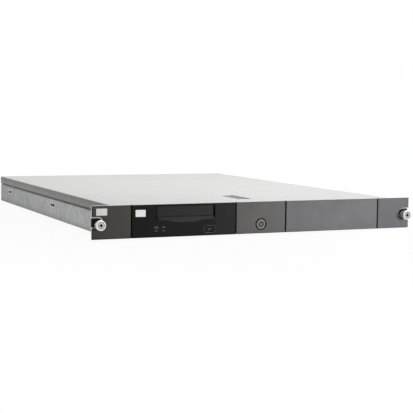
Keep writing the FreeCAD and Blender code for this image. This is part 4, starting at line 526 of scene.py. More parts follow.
def galvanised(slot, level, crystal, streak, stretch, rough, contrast=0.16, light_and_marks=None):
    """Zinc sheet: crystal patches plus streaks choose the tone, and crystals tilt the gloss."""
    finish = Finish(slot, metal=1.0)
    patches = finish.crystals(crystal, [1 + 0.5 * (longer > 1) for longer in stretch])
    streaks = finish.cloud(streak, stretch, detail=4.0)
    mixed = finish.maths("ADD", finish.span(patches, 0.0, 0.45, 0.0, 1.0), finish.span(streaks, 0.0, 0.55))
    clouded = finish.maths("ADD", mixed, finish.span(finish.cloud(60.0, detail=2.0), -0.12, 0.12))
    colour = finish.tones(clouded, tone(level * (1 - contrast), ZINC), tone(level * (1 + contrast)))
    # The case's darkening and its painted seam shade, where given, go into the colour
    finish.coat(light_and_marks(finish, colour) if light_and_marks else colour, finish.span(mixed, *reversed(rough), 0.0, 1.0))
    finish.raised(streaks, 0.02)


# Slot, grey level, width of crystals and streaks in millimetres, stretch of the streaks, roughness,
# and for the case also its contrast and its darkening with painted seam shade
for row in (
    ("case_steel", 0.335, 4.0, 3.4, (1, 1, 7), (0.36, 0.50), 0.23, wall_with_seam_shade),
    ("rear_steel", 0.40, 7.0, 5.0, (9, 1, 1), (0.36, 0.50)),
    ("supply_steel", 0.42, 8.0, 5.0, (1, 9, 1), (0.34, 0.48)),
    ("bracket_steel", 0.42, 6.0, 4.0, (1, 8, 1), (0.34, 0.48)),
    ("carrier_steel", 0.45, 6.0, 4.0, (1, 8, 1), (0.30, 0.44)),
    ("drive_case", 0.40, 9.0, 4.0, (1, 8, 1), (0.34, 0.46)),
):
    galvanised(*row)
print("zinc sheet:", list(COATS)[-6:])

# %% [markdown]
# The lid
#
# The lid is a smoother sheet with a pale satin lacquer: its top is bright under the overhead light while its
# folded flange, which faces the dim side, drops to mid grey. A bare mirror-like metal would reflect the white
# room on both. So it is a painted surface, pale and only faintly glossy, with fine rolling lines along the
# case. Painted shade darkens the flange: its tone follows the height, darkest just under the fold and lighter
# towards the free edge, and a band of painted shade darkens the last millimetre. One short pale tick on the
# flange is where the lacquer has been rubbed, some 185 mm behind the front.

# %% Satin lacquer of the lid
TICK_ALONG, TICK_HIGH = (-109.5, -106.5), (36.6, 40.6)
finish = Finish("cover_steel", specular=0.25)
lines = finish.cloud(0.9, (1, 60, 1), detail=4.0)
broad = finish.span(finish.cloud(70.0, detail=2.0), 0.0, 0.25)
clouding = finish.maths("ADD", finish.span(lines, 0.0, 0.75), broad)
lacquer = finish.tones(clouding, tone(0.61, (0.99, 1.0, 1.0)), tone(0.67))
height = finish.along("Z")
folded = finish.span(height, 1.0, 0.0, (LID_TOP - 0.8) * MM, (LID_TOP - 0.1) * MM)
# Painted shade on the flange, darkest just under the fold
flange_shade = finish.span(height, 0.74, 0.53, FLANGE_EDGE * MM, (LID_TOP - 1.0) * MM)
tick = finish.all_of(finish.band(finish.along("Y"), *TICK_ALONG, 1.0), finish.band(height, *TICK_HIGH, 0.6))
shade_and_rub = finish.maths("ADD", flange_shade, finish.maths("MULTIPLY", tick, 0.28))
# Painted shade in the last millimetre of the flange, above the seam
unshaded = finish.past(height, FLANGE_EDGE + 0.9, 0.4)
flange = finish.shaded(finish.times(lacquer, shade_and_rub), unshaded, outside=0.26)
finish.coat(finish.tones(folded, lacquer, flange), finish.span(finish.cloud(6.0, (1, 6, 1)), 0.40, 0.52))
finish.raised(lines, 0.008)
print("lid flange from", round(FLANGE_EDGE, 2), "to", round(LID_TOP, 2), "mm high")

# %% [markdown]
# Bright hardware
#
# Rack ears, screws, springs and guards are plated: nickel on the knobs, which looks warm, and blue-white zinc
# on the fixings. Plating is smooth but never perfect, so the tone clouds a little and fine turning lines show
# in the bump. Recesses carry painted shade and oil; the new pieces carry a number called hollow at each
# point, and the finish darkens by it. On CAD pieces that number is missing and reads as nought.

# %% Plated metals
LINES, LINE_DEPTH, SHADE_GRIME_TONE = 0.25, 0.006, tone(0.012)


def plated(slot, level, tint, rough):
    """Plating: a clouded tone, with painted shade and grime where the piece is hollow, and fine lines in the
    bump.
    """
    finish = Finish(slot, metal=1.0)
    share = finish.span(finish.cloud(2.5), 0.0, 1.0)
    unshaded = finish.tones(share, tone(level * 0.9, tint), tone(level * 1.08, tint))
    hollow = finish.step("ShaderNodeAttribute", attribute_name="hollow").outputs["Fac"]
    dulled = finish.maths("MULTIPLY", hollow, 0.4)
    finish.coat(
        finish.tones(hollow, unshaded, SHADE_GRIME_TONE),
        finish.maths("ADD", finish.span(finish.cloud(1.2), *rough), dulled),
    )
    finish.raised(finish.cloud(LINES, (4, 1, 4)), LINE_DEPTH)


# Slot, grey level, tint, roughness
for row in (
    ("ear_steel", 0.52, (0.97, 0.985, 1.0), (0.26, 0.38)),
    ("nickel", 0.85, (1.0, 0.975, 0.925), (0.20, 0.30)),
    ("screw_steel", 0.62, (1.0, 0.97, 0.92), (0.20, 0.32)),
    ("zinc_fixings", 0.58, (0.97, 0.99, 1.0), (0.24, 0.36)),
    ("pin_steel", 0.52, PLAIN, (0.22, 0.34)),
    ("spring_steel", 0.46, (1.0, 0.98, 0.95), (0.22, 0.34)),
    ("dish_steel", 0.30, (0.98, 0.99, 1.0), (0.34, 0.46)),
    ("guard_wire", 0.66, PLAIN, (0.14, 0.24)),
    ("port_metal", 0.60, (1.0, 0.99, 0.96), (0.24, 0.34)),
    ("pin_brass", 0.62, (1.0, 0.83, 0.48), (0.20, 0.30)),
):
    plated(*row)
print("plated:", list(COATS)[-10:])

# %% [markdown]
# Sheared edges
#
# The rack ears are cut from plated strip, and a painted highlight makes their outer edge bright. It shows as
# a thin light line beside the dark moulding. The edge could be a piece of its own, but it lies at a known
# place, so the finish finds it: everything more than a hair past the ear's flat face, counted from the middle
# of the case.

# %% Painted highlight on the outer edge of the ears
EAR_EDGE, EDGE_HIGHLIGHT_TONE = 240.7, tone(0.88)
ear = COATS["ear_steel"]
edge_highlight_mask = ear.past(ear.apart(ear.along("X"), 0.0), EAR_EDGE, 0.3)
ear.feed("Base Color", ear.tones(edge_highlight_mask, ear.source("Base Color"), EDGE_HIGHLIGHT_TONE))
print("bright edge from", EAR_EDGE, "mm outwards")

# %% [markdown]
# Black moulding inside the data ports
#
# A data port is two materials in one piece: a plated shell, and inside it a black moulding with a tongue that
# carries the contacts. The CAD piece has one slot for both. Splitting it would change the frame, so the
# finish itself tells them apart: whatever lies in the small box of the tongue, or on the floor of the shell,
# is plastic. The same share mixes the colour and turns the metal off.

# %% Port tongue
PORT_REAR, PORT_Z = 302.65, 22.0
PORT_MIDDLE, PORT_HALF_PITCH = -76.0, 37.0
TONGUE_HALF_X, TONGUE_HALF_Z = 19.5, 1.32
PORT_BLACK = tone(0.014)
port = COATS["port_metal"]
behind = port.along("Y")
from_port = port.apart(port.apart(port.along("X"), PORT_MIDDLE), PORT_HALF_PITCH)
tongue = port.all_of(
    port.band(port.along("Z"), PORT_Z - TONGUE_HALF_Z, PORT_Z + TONGUE_HALF_Z, 0.03),
    port.band(from_port, -1.0, TONGUE_HALF_X, 0.05),
    port.band(behind, PORT_REAR - 2.0, PORT_REAR + 4.0, 0.05),
)
shell_floor = port.band(behind, PORT_REAR - 1.1, PORT_REAR - 0.8, 0.05)
moulding = port.maths("MAXIMUM", tongue, shell_floor)
port.feed("Base Color", port.tones(moulding, port.source("Base Color"), PORT_BLACK))
port.feed("Metallic", port.maths("SUBTRACT", 1.0, moulding))
print("port moulding marked off")

# %% [markdown]
# Boards, ribbons and lamp windows
#
# Behind the front sit two small circuit boards, ribbons and leads, which show when the lid slides back. A
# board is green lacquer over copper tracks: squares inside squares, the rings of a Voronoi pattern measured
# along its longer side, pass for tracks at this size. A ribbon is a row of thin wires side by side, so a wave
# with the wires' own spacing shapes its colour and bump, and one edge wire is red as on most ribbons. The
# lamp windows are smoked plastic, dark until a lamp behind them is lit.

# %% Board lacquer
LACQUER_GREEN, TRACK_GREEN = (0.008, 0.075, 0.032, 1.0), (0.030, 0.155, 0.062, 1.0)
TRACK_DENSITY = 9.0
finish = Finish("board_green")
rings = finish.step(
    "ShaderNodeTexVoronoi", {"Vector": finish.counted(7.0), "Scale": 1.0}, distance="CHEBYCHEV",
).outputs["Distance"]
tracks = finish.maths("PINGPONG", finish.maths("MULTIPLY", rings, TRACK_DENSITY), 1.0)
copper = finish.span(tracks, 0.0, 1.0, 0.55, 0.65)
finish.coat(finish.tones(copper, LACQUER_GREEN, TRACK_GREEN), finish.span(finish.cloud(3.0), 0.22, 0.34))
finish.raised(copper, 0.03)
print("board lacquer ready")

# %% Ribbon wires
WIRE_PITCH, EDGE_RED = 1.27, (0.42, 0.035, 0.030, 1.0)
finish = Finish("ribbon_grey", specular=0.4)
wires = finish.step(
    "ShaderNodeTexWave", {"Vector": finish.place, "Scale": math.pi / (10 * WIRE_PITCH * MM)},
    bands_direction="X",
).outputs["Fac"]
jacket = finish.tones(wires, tone(0.20), tone(0.34, (0.98, 0.99, 1.0)))
for ribbon in ("data_ribbon", "spare_ribbon"):
    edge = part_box(ribbon)[0].x / MM
    marked = finish.band(finish.along("X"), edge - 0.1, edge + WIRE_PITCH - 0.1, 0.1)
    jacket = finish.tones(marked, jacket, EDGE_RED)
finish.coat(jacket, finish.span(finish.cloud(5.0), 0.38, 0.50))
finish.raised(wires, 0.25)
print("ribbon wires every", WIRE_PITCH, "mm")

# %% Lamp windows
SMOKE_DARK, SMOKE_PALE = (0.026, 0.027, 0.020, 1.0), (0.046, 0.048, 0.034, 1.0)
finish = Finish("lamp_clear")
finish.coat(
    finish.tones(finish.span(finish.cloud(1.5), 0.0, 1.0), SMOKE_DARK, SMOKE_PALE),
    finish.span(finish.cloud(0.8), 0.16, 0.26),
)
finish.raised(finish.cloud(0.4), 0.004)
print(len(COATS), "finishes")

# %% [markdown]
# Coating the CAD pieces
#
# Each CAD piece comes with a plain material named for its slot in the record. It could be recoloured in
# place, but swapping the whole material keeps the CAD mesh untouched and gives pieces of one slot one shared
# coat.

# %% Swap every CAD material for its finish
for node in nodes.values():
    for holder in node.material_slots:
        slot = holder.material.name.split(".")[0]
        holder.material = COATS[slot].material
print("coated", len(nodes), "CAD pieces")

# %% [markdown]
# Skins
#
# Every new piece is a skin: a grid of points whose rows run along the piece and whose columns run round it.
# The points come from a formula, worked out for the whole grid at once, and the faces follow from counting. A
# round piece closes its columns into a ring; at each end the last ring closes on a pole in its middle, or, on
# a piece with a hole through it, the rows close into a ring as well.


# %% From grids to meshes
def skin(grid, ring_shaped=False):
    """Points and faces of a closed grid.

    Point (row, column) has the number row * columns + column. Each quad joins two neighbours in a row with
    the same two in the next. Poles are the mean of the end rows. If the summed volume comes out negative,
    every face is turned over, so that faces point outwards.
    """
    rows, columns = grid.shape[:2]
    number = np.arange(rows * columns).reshape(rows, columns)
    number = np.column_stack([number, number[:, 0]])
    points = grid.reshape(-1, 3)
    if ring_shaped:
        number = np.vstack([number, number[:1]])
    here, there = number[:-1], number[1:]
    quads = np.stack([here[:, :-1], here[:, 1:], there[:, 1:], there[:, :-1]], -1).reshape(-1, 4)
    fans = np.empty((0, 3), int)
    if not ring_shaped:
        points = np.vstack([points, grid[0].mean(0), grid[-1].mean(0)])
        first, last = np.full(columns, rows * columns), np.full(columns, rows * columns + 1)
        fans = np.vstack([
            np.column_stack([first, number[0, 1:], number[0, :-1]]),
            np.column_stack([last, number[-1, :-1], number[-1, 1:]]),
        ])
    triangles = np.vstack([quads[:, [0, 1, 2]], quads[:, [0, 2, 3]], fans])
    a, b, c = (points[triangles[:, i]] - points.mean(0) for i in range(3))
    if np.einsum("ij,ij->", a, np.cross(b, c)) < 0:
        quads, fans = quads[:, ::-1], fans[:, ::-1]
    return points, quads, fans


def joined_skins(*shapes):
    """Several skins in one: their points one after another, their face numbers counted on."""
    starts = np.cumsum([0] + [len(points) for points, _, _ in shapes[:-1]])
    points = np.vstack([points for points, _, _ in shapes])
    quads = np.vstack([quads + start for (_, quads, _), start in zip(shapes, starts)])
    fans = np.vstack([fans + start for (_, _, fans), start in zip(shapes, starts)])
    return points, quads, fans


def copies(shape, shifts):
    """The same skin at several places, its points moved by each shift."""
    points, quads, fans = shape
    return joined_skins(*((points + np.asarray(shift, float), quads, fans) for shift in shifts))


def piece(name, shape, body, slot, stands_for=(), hollow=None, crease=35.0, coat=None):
    """Make one mesh object of a skin in millimetres, coat it, and let it ride on a CAD body."""
    points, quads, fans = shape
    mesh = bpy.data.meshes.new(name)
    mesh.from_pydata((points * MM).tolist(), [], quads.tolist() + fans.tolist())
    if hollow is not None:
        mesh.attributes.new("hollow", "FLOAT", "POINT").data.foreach_set("value", hollow.astype(np.float32))
    mesh.shade_smooth()
    mesh.set_sharp_from_angle(angle=math.radians(crease))
    mesh.materials.append(COATS[coat or slot].material)
    made = bpy.data.objects.new(name, mesh)
    scene.collection.objects.link(made)
    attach(made, body)
    if stands_for:
        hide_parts(*stands_for)
    print(name, len(points), "points on", body)
    return made


print("a ring of 4 by 4 points has", len(skin(np.zeros((4, 4, 3)), ring_shaped=True)[1]), "faces")

# %% Turned shapes and waves
TURN = 2 * math.pi


def lathe(radius, along, turns):
    """Points of a turned piece about Y: rows have a place along and a radius, which may change round it."""
    radius, along, turns = np.broadcast_arrays(radius, along, turns)
    return np.stack([radius * np.cos(turns), along, radius * np.sin(turns)], -1)


def triangle_wave(count):
    """A wave of straight flanks, 0 at whole numbers and 1 half way between."""
    return 1 - np.abs(2 * (count % 1.0) - 1)


print("a quarter along the wave is", triangle_wave(0.25))

# %% [markdown]
# Knurled knobs
#
# The knob of a captive rack screw is a nickel-plated collar that fingers can turn, so its rim is rolled with
# a diamond knurl. Behind the rim a waist is turned in, darkened by painted shade, and a plain bright collar
# follows. A modeller could array and cut hundreds of small pyramids. Written as a formula it is short: the
# radius of the rim is lowered by two families of grooves that wind round it in opposite directions, and the
# pyramids are what is left between them.

# %% Knob with a diamond knurl
SIDES = (("left", -1), ("right", 1))
RACK_PLANE = -292.95
SCREW_X, SCREW_Z = 232.55, 19.3
KNOB_SEAT = [(2.5, -14.0), (4.45, -14.0), (4.6, -14.15), (4.6, -15.02), (4.78, -15.2), (5.3, -15.2)]
KNOB_WAIST = [
    (6.6, -11.95), (6.3, -11.8), (5.85, -11.7), (5.75, -11.55), (5.75, -10.75), (5.85, -10.6), (6.3, -10.5),
    (6.5, -10.45), (6.6, -10.35),
]
KNOB_BORE = [(5.45, -8.7), (5.3, -8.85), (5.3, -12.75), (5.15, -12.9), (2.5, -12.9)]
RIM_R, RIM_ALONG = 6.7, np.linspace(-14.3, -12.1, 22)
KNURL_FROM, KNURL_TO, KNURL_FADE = -14.45, -11.9, 0.4
TEETH, KNURL_DEPTH, KNURL_PITCH = 34, 0.40, 1.3


def bend(radius, along, size, start, end, count):
    """Profile points on a circle about a place (radius, along), from one angle to another in degrees."""
    angle = np.radians(np.linspace(start, end, count))
    return np.column_stack([radius + size * np.cos(angle), along - size * np.sin(angle)])


def knob_skin():
    """A profile carried round the ring-shaped knob, its rim cut by two families of grooves.

    Each family is a triangle wave that counts the teeth round the rim, plus or minus the pitches along it.
    The radius loses the knurl's depth times the square of what the lower wave lacks of 1, and the cut fades
    out at both ends of the rim. Painted shade and grime are deepest in the grooves, in the seat of the screw
    head and in the waist.
    """
    rim = np.column_stack([np.full_like(RIM_ALONG, RIM_R), RIM_ALONG])
    front, tail = bend(5.8, -14.3, 0.9, 90, 0, 6), bend(6.15, -9.15, 0.45, 0, -90, 5)
    radius, along = np.vstack([KNOB_SEAT, front, rim, KNOB_WAIST, tail, KNOB_BORE]).T
    turns = np.linspace(0, TURN, TEETH * 8, endpoint=False)
    count, wind = TEETH * turns / TURN, along[:, None] / KNURL_PITCH
    grooves = np.minimum(triangle_wave(count + wind), triangle_wave(count - wind))
    inward = np.minimum(along - KNURL_FROM, KNURL_TO - along)
    fade = np.clip(inward / KNURL_FADE, 0, 1) * (radius > 6.6)
    cut = fade[:, None] * (1 - grooves)
    grid = lathe(radius[:, None] - KNURL_DEPTH * cut * (1 - grooves), along[:, None] + RACK_PLANE, turns)
    seat = (radius < 4.7) & (along > -15.1) & (along < -13.9)
    waist = (radius < 6.4) & (along > -11.9) & (along < -10.4)
    # Painted shade and grime in the knurl's grooves, the seat of the head and the waist
    shade_and_grime = fade[:, None] * (0.35 + 0.6 * np.clip(1.4 * cut - 0.3, 0, 1))
    return skin(grid, ring_shaped=True), np.maximum(shade_and_grime, (seat | waist)[:, None]).ravel()


knob, knob_hollow = knob_skin()
for side, sign in SIDES:
    turned = copies(knob, [(sign * SCREW_X, 0, SCREW_Z)])
    stands_for = [f"thumb_knob_{side}"]
    piece(f"knurled_knob_{side}", turned, f"screw_{side}", "nickel", stands_for, knob_hollow, crease=25.0)

# %% [markdown]
# Screws with a cross recess
#
# The rack screws and the small fixings share one build: a head with a cross recess, a shank and, on the rack
# screws, a thread. The recess could be cut with a boolean, which leaves ragged faces. Here the head is a disc
# of rings, and each point sinks by how far it lies inside the outline of a cross, so the recess gets sloping
# walls like a real one. The thread is the same trick along the shank: the radius dips once each pitch, and
# the dip moves on by one pitch in each turn.

# %% Screw formula
THREAD_PITCH = 0.8


def screw_skin(head_r, head_t, plump, cross, shank, rings=26, spokes=72):
    """A screw along +Y from the tip of its head, seat at 0.

    Head height over the seat is head_t * (1 - (r / head_r) ** plump) ** (1 / plump). Inside a cross of given
    half length, half width and depth the point sinks by the depth. The shank is rows of radius and place
    along, each with the depth of its thread.
    """
    half_length, half_width, sink = cross
    reach = np.sin(np.linspace(0.03, math.pi / 2, rings)) * head_r
    top = -head_t * (1 - (reach / head_r) ** plump) ** (1 / plump)
    radius = np.concatenate([reach, shank[:, 0]])[:, None]
    along = np.concatenate([top, shank[:, 1]])[:, None]
    thread = np.concatenate([np.zeros(rings), shank[:, 2]])[:, None]
    turns = np.linspace(0, TURN, spokes, endpoint=False)
    x, z = np.abs(radius * np.cos(turns)), np.abs(radius * np.sin(turns))
    wide = np.maximum(x - half_length, z - half_width)
    tall = np.maximum(z - half_length, x - half_width)
    inside = np.clip(0.5 - np.minimum(wide, tall) / (0.3 * half_width), 0, 1)
    inside[rings:] = 0
    edge = np.clip((radius - 0.90 * head_r) / (0.06 * head_r), 0, 0.8) * (along < 0.01)
    dip = thread * (1 - triangle_wave(along / THREAD_PITCH - turns / TURN))
    grid = lathe(radius - dip, along + sink * inside * (1 - radius / (2.2 * half_length)), turns)
    # Painted shade and grime: full in the cross recess, strong at the rim of the head, some in the thread
    shade_and_grime = np.maximum(np.maximum(inside, edge), (dip > 0.2) * 0.35)
    return skin(grid), np.concatenate([shade_and_grime.ravel(), [inside[0].max(), 0]])


print("thread of", THREAD_PITCH, "mm pitch")

# %% Rack screws
HEAD_SEAT = RACK_PLANE - 14.0
THREAD_ROWS, THREAD_R, THREAD_DEPTH = 61, 2.4, 0.42
thread_along = np.linspace(14.4, 20.4, THREAD_ROWS)
rack_shank = np.vstack([
    [(4.3, 0, 0), (4.2, 0.02, 0), (2.5, 0.02, 0), (2.5, 3.2, 0), (1.9, 3.3, 0), (1.9, 14.2, 0)],
    np.column_stack([np.full(THREAD_ROWS, THREAD_R), thread_along, np.full(THREAD_ROWS, THREAD_DEPTH)]),
    [(1.9, 20.9, 0), (1.2, 20.9, 0)],
])
rack_screw, rack_hollow = screw_skin(
    head_r=4.3, head_t=1.05, plump=7.0, cross=(2.4, 0.85, 1.1), shank=rack_shank, rings=64, spokes=168,
)
for side, sign in SIDES:
    turned = copies(rack_screw, [(sign * SCREW_X, HEAD_SEAT, SCREW_Z)])
    piece(f"rack_screw_{side}", turned, f"screw_{side}", "screw_steel", [f"thumb_screw_{side}"], rack_hollow)

# %% Small cross-recess fixings
AIMS = {
    "+X": np.array([(0, 1, 0), (-1, 0, 0), (0, 0, 1)]),
    "-X": np.array([(0, -1, 0), (1, 0, 0), (0, 0, 1)]),
    "-Y": np.array([(-1, 0, 0), (0, -1, 0), (0, 0, 1)]),
}


def aimed(shape, axis):
    """Turn a skin that runs along +Y to run along another axis; the turn keeps its faces outwards."""
    points, quads, fans = shape
    return points @ AIMS[axis].T, quads, fans


def fixing(length):
    """A small pan-head screw along +Y with its seat at 0."""
    shank = np.array([(2.8, 0, 0), (1.5, 0.02, 0), (1.5, length - 0.4, 0), (1.1, length, 0)])
    return screw_skin(head_r=2.8, head_t=1.6, plump=3.0, cross=(1.55, 0.36, 0.95), shank=shank)


COVER_PLACES = [(x, 304.05, 38.6) for x in (-150, 150)]
FAN_PLACES = [(x, 304.15, z) for x in (-2, 30, 44, 76) for z in (5.2, 37.2)]
DRIVE_LEFT, DRIVE_RIGHT = ([(x, y, 10.0) for y in (-262.95, -202.95)] for x in (-163.8, -59.8))
EAR_LEFT, EAR_RIGHT = ([(x, -270.95, z) for z in (9.0, 22.0)] for x in (-211.44, 211.44))
# Name, body, CAD node, length in millimetres, and the places for each way that the screws run
for name, body, node, length, rows in (
    ("cover_fixings", "cover", "cover_screws", 4.4, {"-Y": COVER_PLACES}),
    ("fan_fixings", "chassis", "fan_screws", 12.5, {"-Y": FAN_PLACES}),
    ("drive_fixings", "chassis", "drive_screws", 1.2, {"+X": DRIVE_LEFT, "-X": DRIVE_RIGHT}),
    ("ear_fixings", "chassis", "ear_screws", 3.06, {"-X": EAR_LEFT, "+X": EAR_RIGHT}),
):
    screw, screw_hollow = fixing(length)
    driven = joined_skins(*(copies(aimed(screw, axis), places) for axis, places in rows.items()))
    hollow = np.tile(screw_hollow, sum(len(places) for places in rows.values()))
    piece(name, driven, body, "zinc_fixings", [node], hollow)

# %% [markdown]
# Springs
#
# A spring pushes each rack screw out, and one sits behind each button. A spring is a round wire carried along
# a helix whose first and last turns lie flat, so that it stands square on its seat. Blender's screw modifier
# could wind it, but then the flat end turns are hard to get. Here the path is a formula: the angle runs on
# evenly while the height crawls by one wire thickness in the end turns and climbs in between.

# %% Wound springs
EJECT_X, EJECT_Z = -77.0, 8.9
SPRING_TURNS = 6


def spring_skin(start, end, mean_r, wire_r, turns):
    """Wire round a helix about Y: at each path point its circle spans the radial and the binormal line."""
    share = np.linspace(0, 1, int(turns * 40))
    angle = TURN * turns * share
    dead = 0.9 / turns
    steps = [start + wire_r, start + 3 * wire_r, end - 3 * wire_r, end - wire_r]
    along = np.interp(share, [0, dead, 1 - dead, 1], steps)
    path = np.stack([mean_r * np.cos(angle), along, mean_r * np.sin(angle)], -1)
    tangent = np.gradient(path, axis=0)
    tangent /= np.linalg.norm(tangent, axis=1, keepdims=True)
    radial = np.stack([np.cos(angle), np.zeros_like(angle), np.sin(angle)], -1)
    binormal = np.cross(tangent, radial)
    round_wire = np.linspace(0, TURN, 10, endpoint=False)[None, :, None]
    circle = np.cos(round_wire) * radial[:, None] + np.sin(round_wire) * binormal[:, None]
    return skin(path[:, None] + wire_r * circle)


# Name, CAD node, joint that presses it, axis, mean radius, wire radius and travel in millimetres
for name, node, joint, (x, z), mean_r, wire_r, travel in (
    ("left_rack_spring", "screw_spring_left", "screw_push_left", (-SCREW_X, SCREW_Z), 4.6, 0.25, 3.2),
    ("right_rack_spring", "screw_spring_right", "screw_push_right", (SCREW_X, SCREW_Z), 4.6, 0.25, 3.2),
    ("power_spring", "power_button_spring", "power_press", (0.0, BUTTON_Z), 4.6, 0.3, 1.6),
    ("eject_wound_spring", "eject_spring", "eject_press", (EJECT_X, EJECT_Z), 3.8, 0.22, 1.5),
):
    low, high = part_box(node)
    start, end = low.y / MM, high.y / MM
    wound = copies(spring_skin(start, end, mean_r, wire_r, SPRING_TURNS), [(x, 0, z)])
    made = piece(name, wound, "chassis", "spring_steel", [node], crease=60.0)
    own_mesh(made)

# %% [markdown]
# Pressed collars of the rail slots
#
# Each side wall has two oblong slots where a slide rail hooks in. Thin sheet would cut into the hook, so the
# press that cuts the slot also draws its edge inwards and leaves a low rolled bead outside. Seen from the
# front, the far end of that collar catches the light inside the dark slot. It could be bevelled from the
# wall, but the wall belongs to the CAD model. So the collar is a skin of its own: one small closed profile,
# carried round the slot's outline. Drawing roughens the zinc inside the slot to a satin that scatters light,
# so there its finish is pale and matt, while the bead outside is rubbed to bare metal by the rail.

# %% Drawn zinc
WALL_X = 214.5
finish = Finish("drawn_zinc", specular=0.3)
drawn = finish.cloud(0.6, (6, 1, 1))
satin = finish.tones(finish.span(drawn, 0.0, 1.0), tone(0.88, (0.98, 0.99, 1.0)), tone(0.97))
bare = finish.past(finish.apart(finish.along("X"), 0.0), WALL_X, 0.3)
finish.coat(finish.shaded(satin, bare, inside=0.70), finish.span(finish.cloud(1.0), 0.50, 0.66))
finish.feed("Metallic", bare)
finish.raised(drawn, 0.02)
print("bare metal from", WALL_X, "mm outwards")

# %% Slot collars
SLOT_R, SLOT_LENGTH = 2.2, 22.0
SLOT_Z, SLOTS_Y = 20.5, (-25.95, 236.05)
ROLLED = [
    (0.0, 0.40), (0.03, -0.10), (0.22, -0.42), (0.60, -0.55), (1.05, -0.45), (1.40, -0.12), (1.45, 0.3),
    (0.65, 0.5), (0.6, 4.7), (0.45, 4.9), (0.1, 4.9), (0.0, 4.7),
]


def round_turns(count=48):
    """Angles round a closed outline, half a step off the axes, where sine and cosine change their signs."""
    return (np.arange(count) + 0.5) * TURN / count


def collar_skin(half, radius, profile):
    """A ring round an oblong in the plane of Y and Z.

    The oblong is two half circles about places half a length to either side. Profile points are a distance
    outward from its edge and a depth along +X.
    """
    turns = round_turns()
    flat = np.zeros_like(turns)
    outward = np.stack([flat, np.cos(turns), np.sin(turns)], -1)
    centre = np.stack([flat, half * np.sign(np.cos(turns)), flat], -1)
    out, deep = np.array(profile).T[:, :, None, None]
    return skin(centre + (radius + out) * outward + deep * np.array([1.0, 0, 0]), ring_shaped=True)


def mirrored(shape):
    """The skin as the middle plane of the case mirrors it: X changes its sign and the faces turn over."""
    points, quads, fans = shape
    return points * np.array([-1.0, 1, 1]), quads[:, ::-1], fans[:, ::-1]


collar = collar_skin(SLOT_LENGTH / 2 - SLOT_R, SLOT_R, ROLLED)
left_collars = copies(collar, [(-WALL_X, y, SLOT_Z) for y in SLOTS_Y])
collars = joined_skins(left_collars, mirrored(left_collars))
piece("slot_collars", collars, "chassis", "zinc_fixings", coat="drawn_zinc")

# %% [markdown]
# Badge plates
#
# Two small enamelled plates sit on the front, one on the left ear and one on the drive. They are left bare
# here. A plate could be a bevelled box; made of rings instead, each ring a rectangle with round corners, it
# gets a fine raised rim round a sunk field, as a pressed badge has.


# %% Enamel and print
def printed(name, dark, pale, grain=0.4):
    """A film of screen print, matt, its tone wandering between two grey levels."""
    finish = Finish(name, specular=0.2)
    finish.coat(
        finish.tones(finish.span(finish.cloud(grain), 0.0, 1.0), tone(dark), tone(pale)),
        finish.span(finish.cloud(0.4), 0.45, 0.60),
    )


finish = Finish("badge_enamel")
finish.coat(
    finish.tones(finish.cloud(9.0, detail=1.0), tone(0.88, (1.0, 1.0, 0.96)), tone(0.93, (1.0, 1.0, 0.97))),
    finish.span(finish.cloud(3.0, detail=1.0), 0.24, 0.34),
)
finish.raised(finish.cloud(0.6), 0.004)
printed("sign_print", 0.010, 0.016, grain=0.5)
printed("pale_print_and_highlight", 0.050, 0.085)
printed("lamp_print", 0.13, 0.19)
print("enamel and print:", list(COATS)[-4:])

# %% Plates of rounded rings
BADGE = [(0, -0.2), (0, 0.30), (0.12, 0.42), (0.45, 0.42), (0.60, 0.34), (1.6, 0.34), (3.2, 0.34)]
BADGE_HEIGHT, BADGE_CORNER = 9.1, 0.5
EAR_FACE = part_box("ear_bezel_left")[0].y / MM


def rounded(width, height, radius):
    """Points round a rectangle with round corners: each corner's centre plus a quarter of a circle."""
    turns = round_turns()
    x = np.sign(np.cos(turns)) * (width / 2 - radius) + radius * np.cos(turns)
    z = np.sign(np.sin(turns)) * (height / 2 - radius) + radius * np.sin(turns)
    return np.stack([x, np.zeros_like(x), z], -1)


def plate_skin(width, height, radius, rings):
    """A plate that faces -Y: each ring is the outline drawn in by an inset and lifted by a height."""
    inset, lift = np.array(rings).T[:, :, None, None]
    smaller = np.clip(1 - 2 * inset / np.array([width, 1.0, height]), 0.02, 1)
    return skin(rounded(width, height, radius) * smaller - lift * np.array([0, 1.0, 0]))


for name, width, place, slot in (
    ("ear_badge", 14.7, (-228.65, EAR_FACE, 35.7), "grey_moulding"),
    ("drive_badge", 13.9, (-175.6, DRIVE_FACE, 32.5), "drive_black"),
):
    plate = copies(plate_skin(width, BADGE_HEIGHT, BADGE_CORNER, BADGE), [place])
    piece(name, plate, "chassis", slot, coat="badge_enamel")

# %% [markdown]
# Printed signs
#
# The buttons and lamps carry the usual signs: ring and bar on the power button, a triangle over a bar on the
# eject button, a cartridge outline and a wave over the two lamps. Flat print could be a mask in the finish,
# but screen printing lays down a film that is a few hundredths of a millimetre thick, and as a thin skin it
# also survives in the mesh. Each stroke is a flat stripe carried along a path; where the stripe narrows along
# its path, it draws the triangle.

# %% Power sign
FILM, SIGN_STROKE, SIGN_R = 0.06, 1.2, 3.2
OPEN_RING, UPRIGHT_BAR = (125, 415), (0.3, 4.3)


def stripe_skin(path, side, width, closed=False):
    """A flat film that faces -Y: a thin rectangle carried along a path, widened along the side vectors."""
    across = np.array([-0.5, 0.5, 0.5, -0.5])[None, :, None] * width
    lift = np.array([0.0, 0.0, 1.0, 1.0])[None, :, None] * FILM
    return skin(path[:, None] + across * side[:, None] - lift * np.array([0, 1.0, 0]), ring_shaped=closed)


def flat_path(x, z):
    """Points in the plane of the panel, from their places across and up."""
    x, z = np.broadcast_arrays(x, z)
    return np.stack([x, np.zeros_like(x), z], -1).astype(float)


